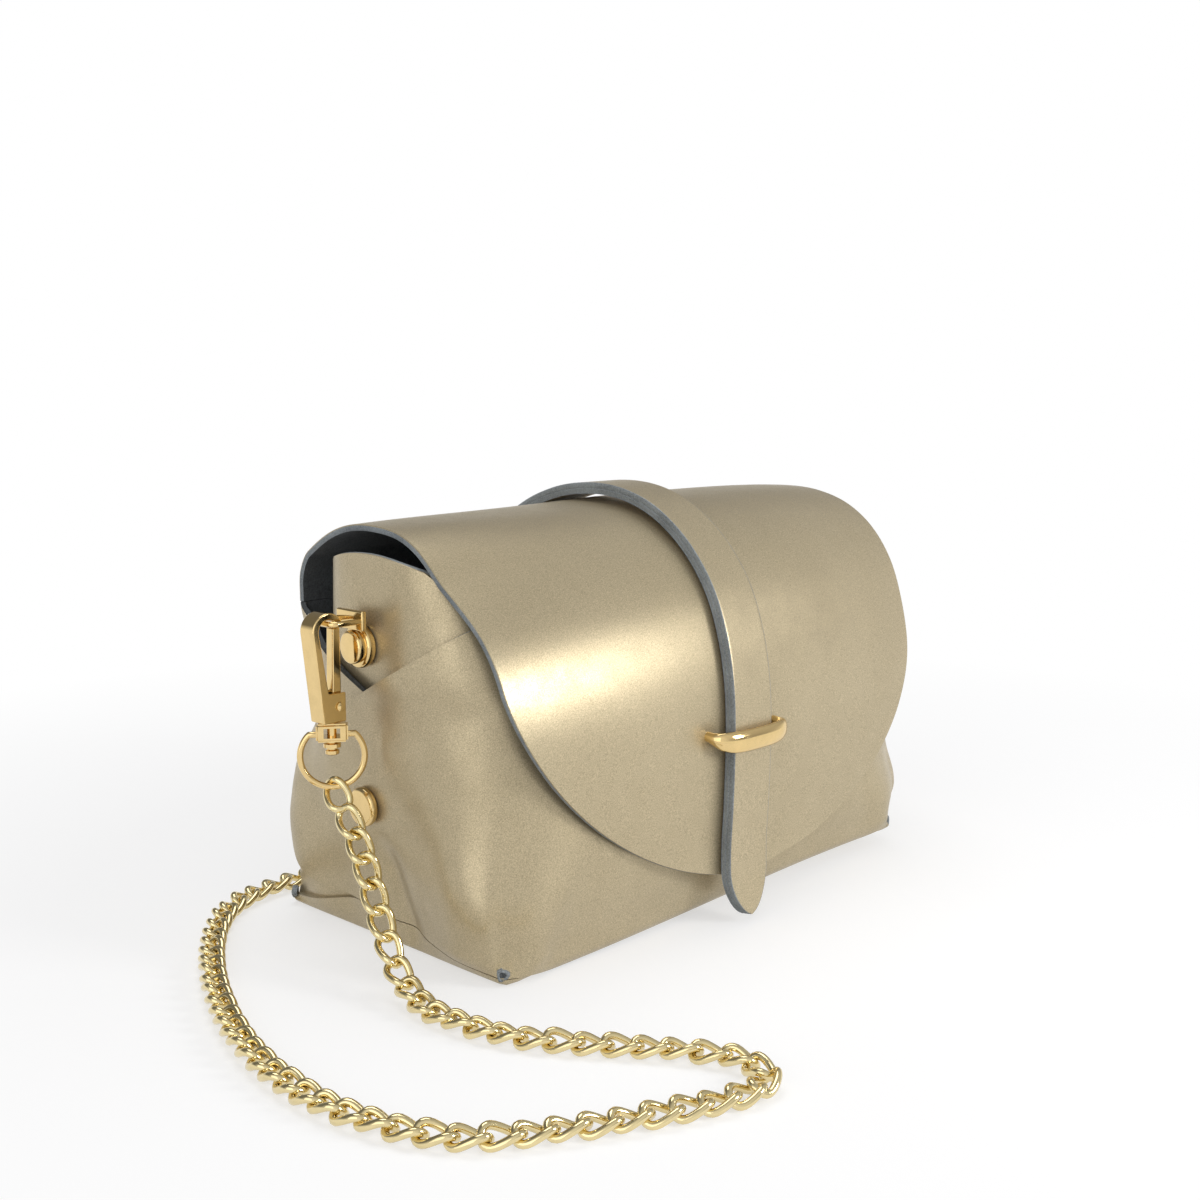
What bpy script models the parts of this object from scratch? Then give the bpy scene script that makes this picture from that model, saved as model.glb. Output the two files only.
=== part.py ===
"""Small leather crossbody bag with a round flap, a closing strap and a chain.

Lengths are in metres.  The origin is the middle of the base's underside, +Z is up, the
front faces -Y and the width runs along X.  The side seen first is the left one, at -X.
"""

import math

import bpy
import bmesh
from mathutils import Matrix, Vector

# Leather bag
BASE_LENGTH = 0.180
BASE_DEPTH = 0.098
RIDGE_HEIGHT = 0.1225
LEATHER = 0.0018
CLEARANCE = 0.0005
SIDE_BULGE_SHARE = 0.0444
FRONT_BULGE_SHARE = 0.0430
BACK_BULGE_SHARE = 0.0204
FRONT_TOP_SHARE = 0.784
HINGE_SHARE = 0.7673
WING_CROSSING_SHARE = 0.596
FRONT_WING_FALL = 0.46
BACK_WING_FALL = 0.55
WING_HEM_RISE = 0.127
BACK_HEM_RISE = 0.230
BACK_HEM_LIMIT = 0.0095
FRONT_WING_REACH = 40.5
BACK_WING_REACH = 22.5
FRONT_WING_ROUND = 0.0140
BACK_WING_ROUND = 0.0080

# Side tongues, their heights as shares of the ridge and half widths of the base's depth
TONGUE_TOP_SHARE = 0.898
TONGUE_HALF_SHARE = 0.296
TONGUE_FOOT_SHARE = 0.378
TONGUE_FOOT_HEIGHT_SHARE = 0.082
TONGUE_NARROW_SHARE = 0.367
TONGUE_SHIFT = -0.0020
TONGUE_ARCH = 0.0030
TONGUE_ROUND = 0.0050

# Flap
FLAP_LOW_SHARE = 0.110
FLAP_ROUND_SHARE = 0.686
FLAP_ROUNDNESS = 1.65
FLAP_FALL = 0.0030
FLAP_STAND = 0.0039

# Closing strap
STRAP_WIDTH = 0.0170
STRAP_PLY = 0.0016
PLY_GAP = 0.0003
STRAP_START_SHARE = 0.8245
STRAP_LOW = 0.0018
STRAP_TIP_LENGTH = 0.0140
STRAP_TIP_ROUNDNESS = 1.7
STRAP_ARCH = 0.0018
STRAP_SKEW = -0.0050
TAIL_LOW_SHARE = 0.4735
TAIL_ROUND = 0.0060
TAIL_TOP_GAP = 0.0045

# Rivets of the strap's tail, their heights as shares of the ridge
RIVET_SHARES = (("lower", 0.531), ("upper", 0.645))
RIVET_CAP_RADIUS = 0.0036
RIVET_CAP_THICKNESS = 0.0014
RIVET_POST_RADIUS = 0.0013

# Closure loop
LOOP_SHARE = 0.4653
LOOP_HALF = 0.0165
LOOP_BAR_HEIGHT = 0.0064
LOOP_BAR_DEPTH = 0.0030
LOOP_LEG_RADIUS = 0.0015
LOOP_STRAP_GAP = 0.0007
LOOP_NUT_RADIUS = 0.0036
LOOP_NUT_THICKNESS = 0.0008

# Side studs
LOW_STUD_SHARE = 0.338
LOW_STUD_RADIUS = 0.0055
LOW_STUD_THICKNESS = 0.0026
RING_STUD_SHARE = 0.706
RING_STUD_RADIUS = 0.0060
RING_STUD_THICKNESS = 0.0025
RING_STUD_STEP_RADIUS = 0.0046
RING_STUD_STEP = 0.0022
STUD_POST_RADIUS = 0.0016
STUD_NUT_RADIUS = 0.0048
STUD_NUT_THICKNESS = 0.0016
HOLE_CLEARANCE = 0.0004
FIT_GAP = 0.0003

# Rectangular ring on the upper stud
EYE_WIRE_RADIUS = 0.0008
EYE_HALF = 0.0047
EYE_BAND_THICKNESS = 0.0016
EYE_BAND_HEIGHT = 0.0054
EYE_BAND_HALF = 0.0058

# Snap hook: distances outward from the middle of its nose, and drops below that middle
HOOK_REACH = 0.0137
HOOK_NOSE_RADIUS = 0.0050
HOOK_BAND = 0.0019
HOOK_HALF_WIDTH = 0.0030
HOOK_NOSE_END_DEG = 16.0
HOOK_FOOT_DROP = 0.0169
HOOK_FOOT_HEIGHT = 0.0079
HOOK_FOOT_OUTER = 0.0022
HOOK_FOOT_INNER = 0.0051
HOOK_SLOT_WALL = 0.0025
HOOK_SLOT_FLOOR = 0.0018
GATE_PIVOT_INNER = 0.0032
GATE_PIVOT_DROP = 0.0206
GATE_HALF_WIDTH = 0.0015
GATE_THICKNESS = 0.0023
GATE_FOOT_RADIUS = 0.0015
GATE_PIN_RADIUS = 0.0007
GATE_BORE_RADIUS = 0.0010
PIN_HEAD_RADIUS = 0.0013
PIN_HEAD_THICKNESS = 0.0004

# Swivel and D-ring under each hook
SWIVEL_INNER = 0.0023
SWIVEL_PIN_RADIUS = 0.0013
SWIVEL_PIN_LENGTH = 0.0089
SWIVEL_HEAD_RADIUS = 0.0021
SWIVEL_HEAD_THICKNESS = 0.0018
COLLAR_RADIUS = 0.0046
COLLAR_HEIGHT = 0.0065
COLLAR_GAP = 0.0004
COLLAR_BORE_RADIUS = 0.0017
RING_RADIUS = 0.0086
RING_WIRE_RADIUS = 0.00075
RING_DROP = 0.0146
RING_TURN_DEG = 35.6

# Chain
CHAIN_WIDTH = 0.0070
CHAIN_REST = 0.0037
LINK_LENGTH = 0.0103
LINK_WIRE_RADIUS = 0.0008
LINK_TILT_DEG = 40.0
TUBE_SPACING = 0.0130

# Mesh counts
WRAP_STEP_DEG = 4.5
WRAP_ROWS = 10
FLAP_COLUMNS = 18
FLAP_ROWS = 22
STRAP_COLUMNS = 6
STRAP_ROWS = 26
ROW_SPREAD = 1.25
TONGUE_COLUMNS = 10
TONGUE_ROWS = 12
ROUND_SIDES = 20
WIRE_SIDES = 8

LEATHER_COLOUR = (0.480, 0.402, 0.245, 1.0)
INSIDE_COLOUR = (0.055, 0.060, 0.066, 1.0)
GOLD_COLOUR = (0.830, 0.610, 0.260, 1.0)

# Each row of the body's form: height as a share of the ridge height, growth beyond the
# base as shares of the side, front and back bulges, and corner softness front and back.
BODY_FORM_SHARES = (
    (0.000, 0.00, 0.00, 0.00, 0.0125, 0.0125),
    (0.025, 0.02, 0.08, 0.08, 0.0200, 0.0160),
    (0.073, 0.12, 0.27, 0.28, 0.0400, 0.0450),
    (0.147, 0.34, 0.65, 0.70, 0.0620, 0.1180),
    (0.270, 0.66, 0.98, 1.00, 0.1540, 0.1250),
    (0.408, 0.86, 1.00, 0.50, 0.2000, 0.1430),
    (0.571, 0.98, 0.80, -1.25, 0.2220, 0.2630),
    (0.650, 1.34, 0.40, -2.40, 0.2120, 0.3050),
    (0.735, 1.40, -0.25, -3.50, 0.2000, 0.3300),
    (0.914, 1.40, -2.70, -4.50, 0.2000, 0.3300),
)

# Middle line of the flap's outer face, from its fold over the top and down the front to
# the floor: depth as a share of half the base's depth, height as a share of the ridge, and
# how much of the flap's stand-off from the front panel it has.
FLAP_LINE_SHARES = (
    (0.855, 0.767, 0.0), (0.850, 0.845, 0.0), (0.775, 0.918, 0.0), (0.600, 0.966, 0.0),
    (0.330, 0.993, 0.0), (0.020, 1.000, 0.0), (-0.290, 0.992, 0.0), (-0.562, 0.960, 0.1),
    (-0.773, 0.898, 0.4), (-0.921, 0.806, 0.8), (-1.015, 0.690, 1.0), (-1.075, 0.560, 1.0),
    (-1.092, 0.425, 1.0), (-1.092, 0.295, 1.0), (-1.085, 0.180, 1.0), (-1.100, 0.090, 1.0),
    (-1.135, 0.004, 1.0),
)

# Route of the chain from the left end link, round in front of the bag, and behind it in
# two flat bends to the right end link: outward place as a share of the swivels' distance,
# depth as a share of half the base's depth, rise as a share of the D-rings' height.
CHAIN_ROUTE_SHARES = (
    (-1.003, -0.269, 0.630), (-1.016, -0.459, 0.298), (-1.041, -0.694, 0.072),
    (-1.069, -1.061, 0.000), (-1.019, -1.561, 0.000), (-0.822, -2.204, 0.000),
    (-0.762, -2.469, 0.000), (-0.799, -2.700, 0.000), (-0.920, -2.694, 0.000),
    (-1.199, -2.418, 0.000), (-1.413, -2.082, 0.000), (-1.508, -1.469, 0.000),
    (-1.473, -0.714, 0.000), (-1.310, 0.184, 0.000), (-1.069, 0.949, 0.000),
    (-0.874, 1.184, 0.000), (-0.465, 1.204, 0.000), (0.000, 1.194, 0.000),
    (0.465, 1.204, 0.000), (0.669, 1.306, 0.000), (0.720, 1.510, 0.000),
    (0.660, 1.714, 0.000), (0.511, 1.796, 0.000), (0.093, 1.806, 0.000),
    (-0.232, 1.837, 0.000), (-0.381, 2.000, 0.000), (-0.390, 2.224, 0.000),
    (-0.260, 2.398, 0.000), (0.186, 2.408, 0.000), (0.697, 2.224, 0.000),
    (1.004, 1.673, 0.000), (1.078, 1.061, 0.004), (1.046, 0.551, 0.182),
    (1.016, 0.327, 0.488),
)

SIDES = (("left", -1), ("right", 1))
LAYER = LEATHER + CLEARANCE
PANEL_FOOT = LEATHER + CLEARANCE
TONGUE_INSET = 2 * LAYER + FIT_GAP
SIDE_BULGE = BASE_LENGTH * SIDE_BULGE_SHARE
FRONT_BULGE = BASE_DEPTH * FRONT_BULGE_SHARE
BACK_BULGE = BASE_DEPTH * BACK_BULGE_SHARE
FRONT_TOP = RIDGE_HEIGHT * FRONT_TOP_SHARE
HINGE_HEIGHT = RIDGE_HEIGHT * HINGE_SHARE
WING_CROSSING = RIDGE_HEIGHT * WING_CROSSING_SHARE
TONGUE_TOP = RIDGE_HEIGHT * TONGUE_TOP_SHARE
TONGUE_HALF = BASE_DEPTH * TONGUE_HALF_SHARE
TONGUE_FOOT_HALF = BASE_DEPTH * TONGUE_FOOT_SHARE
TONGUE_FOOT_HEIGHT = RIDGE_HEIGHT * TONGUE_FOOT_HEIGHT_SHARE
TONGUE_NARROW_HEIGHT = RIDGE_HEIGHT * TONGUE_NARROW_SHARE
FLAP_HALF = BASE_LENGTH / 2
FLAP_LOW = RIDGE_HEIGHT * FLAP_LOW_SHARE
FLAP_ROUND_TOP = RIDGE_HEIGHT * FLAP_ROUND_SHARE
STRAP_START_HEIGHT = RIDGE_HEIGHT * STRAP_START_SHARE
TAIL_LOW = RIDGE_HEIGHT * TAIL_LOW_SHARE
LOOP_HEIGHT = RIDGE_HEIGHT * LOOP_SHARE
LOW_STUD_HEIGHT = RIDGE_HEIGHT * LOW_STUD_SHARE
RING_STUD_HEIGHT = RIDGE_HEIGHT * RING_STUD_SHARE
TAIL_THICKNESS = 2 * STRAP_PLY + PLY_GAP


def clear_scene():
    """Remove every object of the starting scene."""
    for item in list(bpy.data.objects):
        bpy.data.objects.remove(item, do_unlink=True)


def finish(name, colour, roughness, metallic):
    """Make a plain material."""
    made = bpy.data.materials.new(name)
    made.use_nodes = True
    shader = made.node_tree.nodes["Principled BSDF"]
    shader.inputs["Base Color"].default_value = colour
    shader.inputs["Roughness"].default_value = roughness
    shader.inputs["Metallic"].default_value = metallic
    return made


def leather_finish(name):
    """Pale gold leather."""
    return finish(name, LEATHER_COLOUR, 0.38, 0.75)


def gold_finish(name):
    """Bright gold plating."""
    return finish(name, GOLD_COLOUR, 0.16, 1.0)


def add_mesh(name, mesh_data, material, smooth_angle=40.0):
    """Turn a bmesh into a named object with outward faces."""
    bmesh.ops.remove_doubles(mesh_data, verts=mesh_data.verts, dist=0.000001)
    bmesh.ops.recalc_face_normals(mesh_data, faces=mesh_data.faces)
    if mesh_data.calc_volume(signed=True) < 0:
        bmesh.ops.reverse_faces(mesh_data, faces=mesh_data.faces)
    mesh = bpy.data.meshes.new(name)
    mesh_data.to_mesh(mesh)
    mesh_data.free()
    mesh.shade_smooth()
    mesh.set_sharp_from_angle(angle=math.radians(smooth_angle))
    made = bpy.data.objects.new(name, mesh)
    made.data.materials.append(material)
    bpy.context.scene.collection.objects.link(made)
    return made


def cut(target, cutter_mesh, name):
    """Cut a closed shape out of an object with a Boolean modifier."""
    cutter = add_mesh(name, cutter_mesh, None)
    cutter.hide_render = True
    cutter.display_type = "WIRE"
    modifier = target.modifiers.new(name, "BOOLEAN")
    modifier.operation = "DIFFERENCE"
    modifier.solver = "EXACT"
    modifier.object = cutter


def grid_faces(mesh_data, grid):
    """Join a grid of corners with four-sided faces."""
    for row, next_row in zip(grid, grid[1:]):
        for left in range(len(row) - 1):
            mesh_data.faces.new((row[left], row[left + 1], next_row[left + 1], next_row[left]))


def closed_sheet(mesh_data, outer, inner):
    """Add a sheet of leather: two grids of points, closed by a rim."""
    outside = [[mesh_data.verts.new(point) for point in row] for row in outer]
    inside = [[mesh_data.verts.new(point) for point in row] for row in inner]
    grid_faces(mesh_data, outside)
    grid_faces(mesh_data, [row[::-1] for row in inside])
    rim = rim_of(outside)
    back_rim = rim_of(inside)
    count = len(rim)
    for index in range(count):
        after = (index + 1) % count
        mesh_data.faces.new((rim[after], rim[index], back_rim[index], back_rim[after]))


def rim_of(grid):
    """List the corners round the edge of a grid."""
    bottom = grid[0][:-1]
    right = [row[-1] for row in grid[:-1]]
    top = grid[-1][:0:-1]
    left = [row[0] for row in grid[:0:-1]]
    return bottom + right + top + left


def lerp(start, end, share):
    """Read a value between two others."""
    return start + (end - start) * share


def smooth_table(rows, place):
    """Read a smooth curve through the rows of a table at a place on its first column."""
    last = len(rows) - 1
    index = 0
    while index < last - 1 and place > rows[index + 1][0]:
        index += 1
    before = rows[max(index - 1, 0)]
    start = rows[index]
    end = rows[index + 1]
    after = rows[min(index + 2, last)]
    span = end[0] - start[0]
    share = min(max((place - start[0]) / span, 0.0), 1.0)
    values = []
    for column in range(1, len(start)):
        slope_start = span * (end[column] - before[column]) / (end[0] - before[0])
        slope_end = span * (after[column] - start[column]) / (after[0] - start[0])
        values.append(hermite(start[column], end[column], slope_start, slope_end, share))
    return values


def hermite(start, end, slope_start, slope_end, share):
    """Cubic curve between two values with given slopes."""
    square = share * share
    cube = square * share
    return (
        start * (2 * cube - 3 * square + 1)
        + slope_start * (cube - 2 * square + share)
        + end * (3 * square - 2 * cube)
        + slope_end * (cube - square)
    )


def body_level(height):
    """Half length, half depth in front and behind, and corner softness at a height."""
    side, front, back, soft_front, soft_back = smooth_table(
        BODY_FORM_SHARES, height / RIDGE_HEIGHT
    )
    half_length = BASE_LENGTH / 2 + SIDE_BULGE * side
    half_front = BASE_DEPTH / 2 + FRONT_BULGE * front
    half_back = BASE_DEPTH / 2 + BACK_BULGE * back
    return half_length, half_front, half_back, soft_front, soft_back


def level_inside(height, inset, behind):
    """Half length, half depth and corner softness of the form inside an inset.

    Behind the middle the front wing doesn't wrap the corner, so the back panel's outer face
    lies on the form itself there.
    """
    half_length, half_front, half_back, soft_front, soft_back = body_level(height)
    if behind:
        return half_length - inset, half_back - max(inset - LAYER, 0.0), soft_back
    return half_length - inset, half_front - inset, soft_front


def body_point(turn, height, inset):
    """Point of the body's outer form, moved inward by the inset."""
    across = math.cos(turn)
    along = math.sin(turn)
    half_length, half_depth, softness = level_inside(height, inset, along > 0)
    power = 1 / softness
    reach = (abs(across) ** power + abs(along) ** power) ** -softness
    return Vector((half_length * reach * across, half_depth * reach * along, height))


def side_reach(depth, height, inset):
    """Distance of the side from the middle plane, at a depth and a height."""
    half_length, half_depth, softness = level_inside(height, inset, depth > 0)
    share = min(abs(depth) / half_depth, 1.0)
    return half_length * (1 - share ** (1 / softness)) ** softness


def end_round(distance, radius):
    """How far a rounded corner draws an edge back at a distance from its end."""
    if distance >= radius:
        return 0.0
    return radius - math.sqrt(max(radius**2 - (radius - distance) ** 2, 0.0))


def turns_through(stops_deg):
    """Even turns about the middle that pass exactly through the given stops."""
    turns = [math.radians(stops_deg[0])]
    for start, end in zip(stops_deg, stops_deg[1:]):
        count = round((end - start) / WRAP_STEP_DEG)
        for step in range(1, count + 1):
            turns.append(math.radians(lerp(start, end, step / count)))
    return turns


def wrapped_panel(name, middle_deg, wing_deg, layer, top_of, hem_of):
    """A panel with its wings: a sheet wrapped round the body between two edges."""
    reach = 90 + wing_deg
    turns = turns_through(
        (middle_deg - reach, middle_deg - 45, middle_deg + 45, middle_deg + reach)
    )
    outer = []
    inner = []
    for row in range(WRAP_ROWS + 1):
        outer.append([])
        inner.append([])
        for turn in turns:
            height = lerp(hem_of(turn), top_of(turn), row / WRAP_ROWS)
            outer[-1].append(body_point(turn, height, layer))
            inner[-1].append(body_point(turn, height, layer + LEATHER))
    mesh_data = bmesh.new()
    closed_sheet(mesh_data, outer, inner)
    return add_mesh(name, mesh_data, leather_finish(name))


def side_depth(turn):
    """Depth of a column of the body at the height where the wings cross."""
    return body_point(turn, WING_CROSSING / 2, 0).y


FRONT_WING_END = side_depth(math.radians(180 - FRONT_WING_REACH))
BACK_WING_END = side_depth(math.radians(180 + BACK_WING_REACH))


def front_top(turn):
    """Top edge of the front panel and its wings."""
    depth = side_depth(turn)
    edge = min(FRONT_TOP, WING_CROSSING - FRONT_WING_FALL * depth)
    return edge - end_round(FRONT_WING_END - depth, FRONT_WING_ROUND)


def front_hem(turn):
    """Lower edge of the front panel and its wings."""
    depth = side_depth(turn)
    rise = WING_HEM_RISE * max(depth + BASE_DEPTH / 2, 0)
    return PANEL_FOOT + rise + end_round(FRONT_WING_END - depth, FRONT_WING_ROUND)


def back_top(turn):
    """Top edge of the back panel and its wings."""
    depth = side_depth(turn)
    edge = min(HINGE_HEIGHT - FIT_GAP, WING_CROSSING + BACK_WING_FALL * depth)
    return edge - end_round(depth - BACK_WING_END, BACK_WING_ROUND)


def back_hem(turn):
    """Lower edge of the back panel and its wings."""
    depth = side_depth(turn)
    rise = BACK_HEM_RISE * max(BASE_DEPTH / 2 - depth, 0)
    edge = PANEL_FOOT + min(rise, BACK_HEM_LIMIT)
    return edge + end_round(depth - BACK_WING_END, BACK_WING_ROUND)


def make_panels():
    """Base, front panel and back panel of the body."""
    mesh_data = bmesh.new()
    rings = []
    for height in (0.0, LEATHER):
        ring = []
        for turn in turns_through((-45, 45, 135, 225, 315))[1:]:
            point = body_point(turn, 0.0, 0.0)
            ring.append(mesh_data.verts.new((point.x, point.y, height)))
        rings.append(ring)
    cap_rings(mesh_data, rings)
    add_mesh("base_panel", mesh_data, leather_finish("base_panel"))
    front = wrapped_panel("front_panel", 270, FRONT_WING_REACH, 0, front_top, front_hem)
    back = wrapped_panel("back_panel", 90, BACK_WING_REACH, LAYER, back_top, back_hem)
    return front, back


def cap_rings(mesh_data, rings):
    """Join rings of corners into a closed body with flat ends."""
    count = len(rings[0])
    for ring, next_ring in zip(rings, rings[1:]):
        for index in range(count):
            after = (index + 1) % count
            mesh_data.faces.new((ring[index], ring[after], next_ring[after], next_ring[index]))
    mesh_data.faces.new(rings[0][::-1])
    mesh_data.faces.new(rings[-1])


def tongue_half(height):
    """Half width of a side tongue at a height."""
    share = (height - TONGUE_FOOT_HEIGHT) / (TONGUE_NARROW_HEIGHT - TONGUE_FOOT_HEIGHT)
    share = min(max(share, 0.0), 1.0)
    return lerp(TONGUE_FOOT_HALF, TONGUE_HALF, share * share * (3 - 2 * share))


def make_tongue(name, side):
    """A side tongue that stands up from the base inside the wings."""
    columns = TONGUE_COLUMNS
    rows = TONGUE_ROWS
    outer = []
    inner = []
    for row in range(rows + 1):
        outer.append([])
        inner.append([])
        for column in range(columns + 1):
            across = math.sin(math.pi / 2 * (2 * column / columns - 1))
            margin = TONGUE_HALF * (1 - abs(across))
            top = TONGUE_TOP - TONGUE_ARCH * across**2 - end_round(margin, TONGUE_ROUND)
            height = lerp(PANEL_FOOT, top, row / rows)
            depth = TONGUE_SHIFT + across * tongue_half(height)
            for grid, inset in ((outer, TONGUE_INSET), (inner, TONGUE_INSET + LEATHER)):
                reach = side_reach(depth, height, inset)
                grid[-1].append(Vector((side * reach, depth, height)))
    mesh_data = bmesh.new()
    closed_sheet(mesh_data, outer, inner)
    return add_mesh(name, mesh_data, leather_finish(name))


def flap_line():
    """Fine points of the flap's middle line with their distance along it."""
    knots = [
        Vector((depth * BASE_DEPTH / 2 - stand * FLAP_STAND, height * RIDGE_HEIGHT))
        for depth, height, stand in FLAP_LINE_SHARES
    ]
    points = smooth_route(knots, 12)
    distances = [0.0]
    for before, after in zip(points, points[1:]):
        distances.append(distances[-1] + (after - before).length)
    return points, distances


def smooth_route(knots, steps):
    """Points of a smooth curve through the knots."""
    last = len(knots) - 1
    slopes = []
    for index in range(last + 1):
        before = knots[max(index - 1, 0)]
        here = knots[index]
        after = knots[min(index + 1, last)]
        slopes.append((after - before) / ((after - here).length + (here - before).length))
    points = []
    for index in range(last):
        start = knots[index]
        end = knots[index + 1]
        span = (end - start).length
        for step in range(steps):
            points.append(
                hermite(start, end, slopes[index] * span, slopes[index + 1] * span, step / steps)
            )
    points.append(knots[-1])
    return points


LINE_POINTS, LINE_DISTANCES = flap_line()
LINE_TOP = max(range(len(LINE_POINTS)), key=lambda index: LINE_POINTS[index].y)


def line_place(height, behind):
    """Distance along the flap's line at which it has a height, behind or in front."""
    if behind:
        indices = range(LINE_TOP)
    else:
        indices = range(len(LINE_POINTS) - 2, LINE_TOP, -1)
    for index in indices:
        low = min(LINE_POINTS[index].y, LINE_POINTS[index + 1].y)
        high = max(LINE_POINTS[index].y, LINE_POINTS[index + 1].y)
        if low <= height <= high:
            share = (height - LINE_POINTS[index].y) / (
                LINE_POINTS[index + 1].y - LINE_POINTS[index].y
            )
            return lerp(LINE_DISTANCES[index], LINE_DISTANCES[index + 1], share)
    return LINE_DISTANCES[0] if behind else LINE_DISTANCES[-1]


def line_frame(distance):
    """Point and outward normal of the flap's line at a distance along it."""
    index = 0
    while index < len(LINE_POINTS) - 2 and LINE_DISTANCES[index + 1] < distance:
        index += 1
    span = LINE_DISTANCES[index + 1] - LINE_DISTANCES[index]
    share = (distance - LINE_DISTANCES[index]) / span
    point = LINE_POINTS[index].lerp(LINE_POINTS[index + 1], share)
    before = LINE_POINTS[max(index - 2, 0)]
    after = LINE_POINTS[min(index + 3, len(LINE_POINTS) - 1)]
    along = (after - before).normalized()
    return point, Vector((along.y, -along.x))


def flap_half_share(x):
    """Share of the flap's half width at which a place lies."""
    return min(abs(x) / FLAP_HALF, 1.0)


def flap_end(x):
    """Distance along the line at which the flap's round front edge lies."""
    share = flap_half_share(x)
    bow = 1 - (1 - share**FLAP_ROUNDNESS) ** (1 / FLAP_ROUNDNESS)
    return line_place(lerp(FLAP_LOW, FLAP_ROUND_TOP, bow), False)


def draped_sheet(mesh_data, columns, rows, x_of, start, end_of, offset_of, thickness):
    """A sheet that follows the flap's line, from its start to an edge for each column."""
    outer = []
    inner = []
    for row in range(rows + 1):
        outer.append([])
        inner.append([])
        for column in range(columns + 1):
            across = math.sin(math.pi / 2 * (2 * column / columns - 1))
            distance = lerp(start, end_of(across), (row / rows) ** ROW_SPREAD)
            x = x_of(across, distance)
            point, normal = line_frame(distance)
            fall = FLAP_FALL * flap_half_share(x) ** 2
            for grid, rise in ((outer, thickness), (inner, 0.0)):
                place = point + normal * (offset_of(distance) + rise - fall)
                grid[-1].append(Vector((x, place.x, place.y)))
    closed_sheet(mesh_data, outer, inner)


def make_flap():
    """The flap, from its fold behind the bag to its round front edge."""
    start = line_place(HINGE_HEIGHT + FIT_GAP, True)
    mesh_data = bmesh.new()
    draped_sheet(
        mesh_data,
        FLAP_COLUMNS,
        FLAP_ROWS,
        lambda across, distance: across * FLAP_HALF,
        start,
        lambda across: flap_end(across * FLAP_HALF),
        lambda distance: -LEATHER,
        LEATHER,
    )
    return add_mesh("flap", mesh_data, leather_finish("flap"))


STRAP_START = line_place(STRAP_START_HEIGHT, True)
STRAP_END = line_place(STRAP_LOW, False)
STRAP_CREST = LINE_DISTANCES[LINE_TOP]


def strap_middle(distance):
    """Sideways place of the strap's middle, which leans a little as it comes down."""
    share = (distance - STRAP_CREST) / (STRAP_END - STRAP_CREST)
    return STRAP_SKEW * min(max(share, 0.0), 1.0)


def strap_lift(distance):
    """Gap between the flap and the strap, widest where the strap arches over the top."""
    share = min(abs(distance - STRAP_CREST) / (STRAP_CREST - STRAP_START), 1.0)
    return CLEARANCE + STRAP_ARCH * (math.cos(math.pi * share) + 1) / 2


def strap_end(across):
    """Distance along the line at which the strap's pointed end lies."""
    bow = 1 - (1 - abs(across) ** STRAP_TIP_ROUNDNESS) ** (1 / STRAP_TIP_ROUNDNESS)
    return STRAP_END - STRAP_TIP_LENGTH * bow


def make_strap_ply(name, depth_below):
    """One of the strap's two plies, with so much leather below it."""
    mesh_data = bmesh.new()
    draped_sheet(
        mesh_data,
        STRAP_COLUMNS,
        STRAP_ROWS,
        lambda across, distance: strap_middle(distance) + across * STRAP_WIDTH / 2,
        STRAP_START,
        strap_end,
        lambda distance: strap_lift(distance) + depth_below,
        STRAP_PLY,
    )
    return add_mesh(name, mesh_data, leather_finish(name))


def back_face(height):
    """Depth of the back panel's outer face at its middle."""
    return body_point(math.pi / 2, height, LAYER).y


def back_normal(height):
    """Outward direction of the back panel at its middle."""
    rise = back_face(height + LEATHER) - back_face(height - LEATHER)
    return Vector((0.0, 2 * LEATHER, -rise)).normalized()


def make_strap_tail():
    """The strap's tail, fixed on the back panel."""
    columns = 6
    rows = 7
    outer = []
    inner = []
    for row in range(rows + 1):
        outer.append([])
        inner.append([])
        for column in range(columns + 1):
            across = math.sin(math.pi / 2 * (2 * column / columns - 1))
            x = across * STRAP_WIDTH / 2
            low = TAIL_LOW + end_round(STRAP_WIDTH / 2 * (1 - abs(across)), TAIL_ROUND)
            height = lerp(low, HINGE_HEIGHT - TAIL_TOP_GAP, row / rows)
            face = Vector((x, back_face(height), height))
            normal = back_normal(height)
            outer[-1].append(face + normal * (CLEARANCE + TAIL_THICKNESS))
            inner[-1].append(face + normal * CLEARANCE)
    mesh_data = bmesh.new()
    closed_sheet(mesh_data, outer, inner)
    return add_mesh("strap_tail", mesh_data, leather_finish("strap_tail"))


def turned(mesh_data, profile, centre, axis):
    """Add a turned body: radius and place along the axis for each ring."""
    direction = Vector(axis).normalized()
    turn = direction.to_track_quat("Z", "Y").to_matrix()
    rings = []
    for radius, place in profile:
        ring = []
        for index in range(ROUND_SIDES):
            angle = math.tau * index / ROUND_SIDES
            local = Vector((radius * math.cos(angle), radius * math.sin(angle), place))
            ring.append(mesh_data.verts.new(Vector(centre) + turn @ local))
        rings.append(ring)
    cap_rings(mesh_data, rings)


def tube(mesh_data, points, radius, sides, closed):
    """Add a round wire along a path, closed into a ring or capped at its ends."""
    count = len(points)
    rings = []
    reference = None
    for index in range(count):
        if closed:
            along = points[(index + 1) % count] - points[index - 1]
        else:
            along = points[min(index + 1, count - 1)] - points[max(index - 1, 0)]
        along.normalize()
        if reference is None:
            reference = along.orthogonal().normalized()
        reference = (reference - along * reference.dot(along)).normalized()
        across = along.cross(reference)
        ring = []
        for side in range(sides):
            angle = math.tau * (side + 0.5) / sides
            offset = reference * math.cos(angle) + across * math.sin(angle)
            ring.append(mesh_data.verts.new(points[index] + offset * radius))
        rings.append(ring)
    if not closed:
        cap_rings(mesh_data, rings)
        return
    join_closed(mesh_data, rings)


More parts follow.
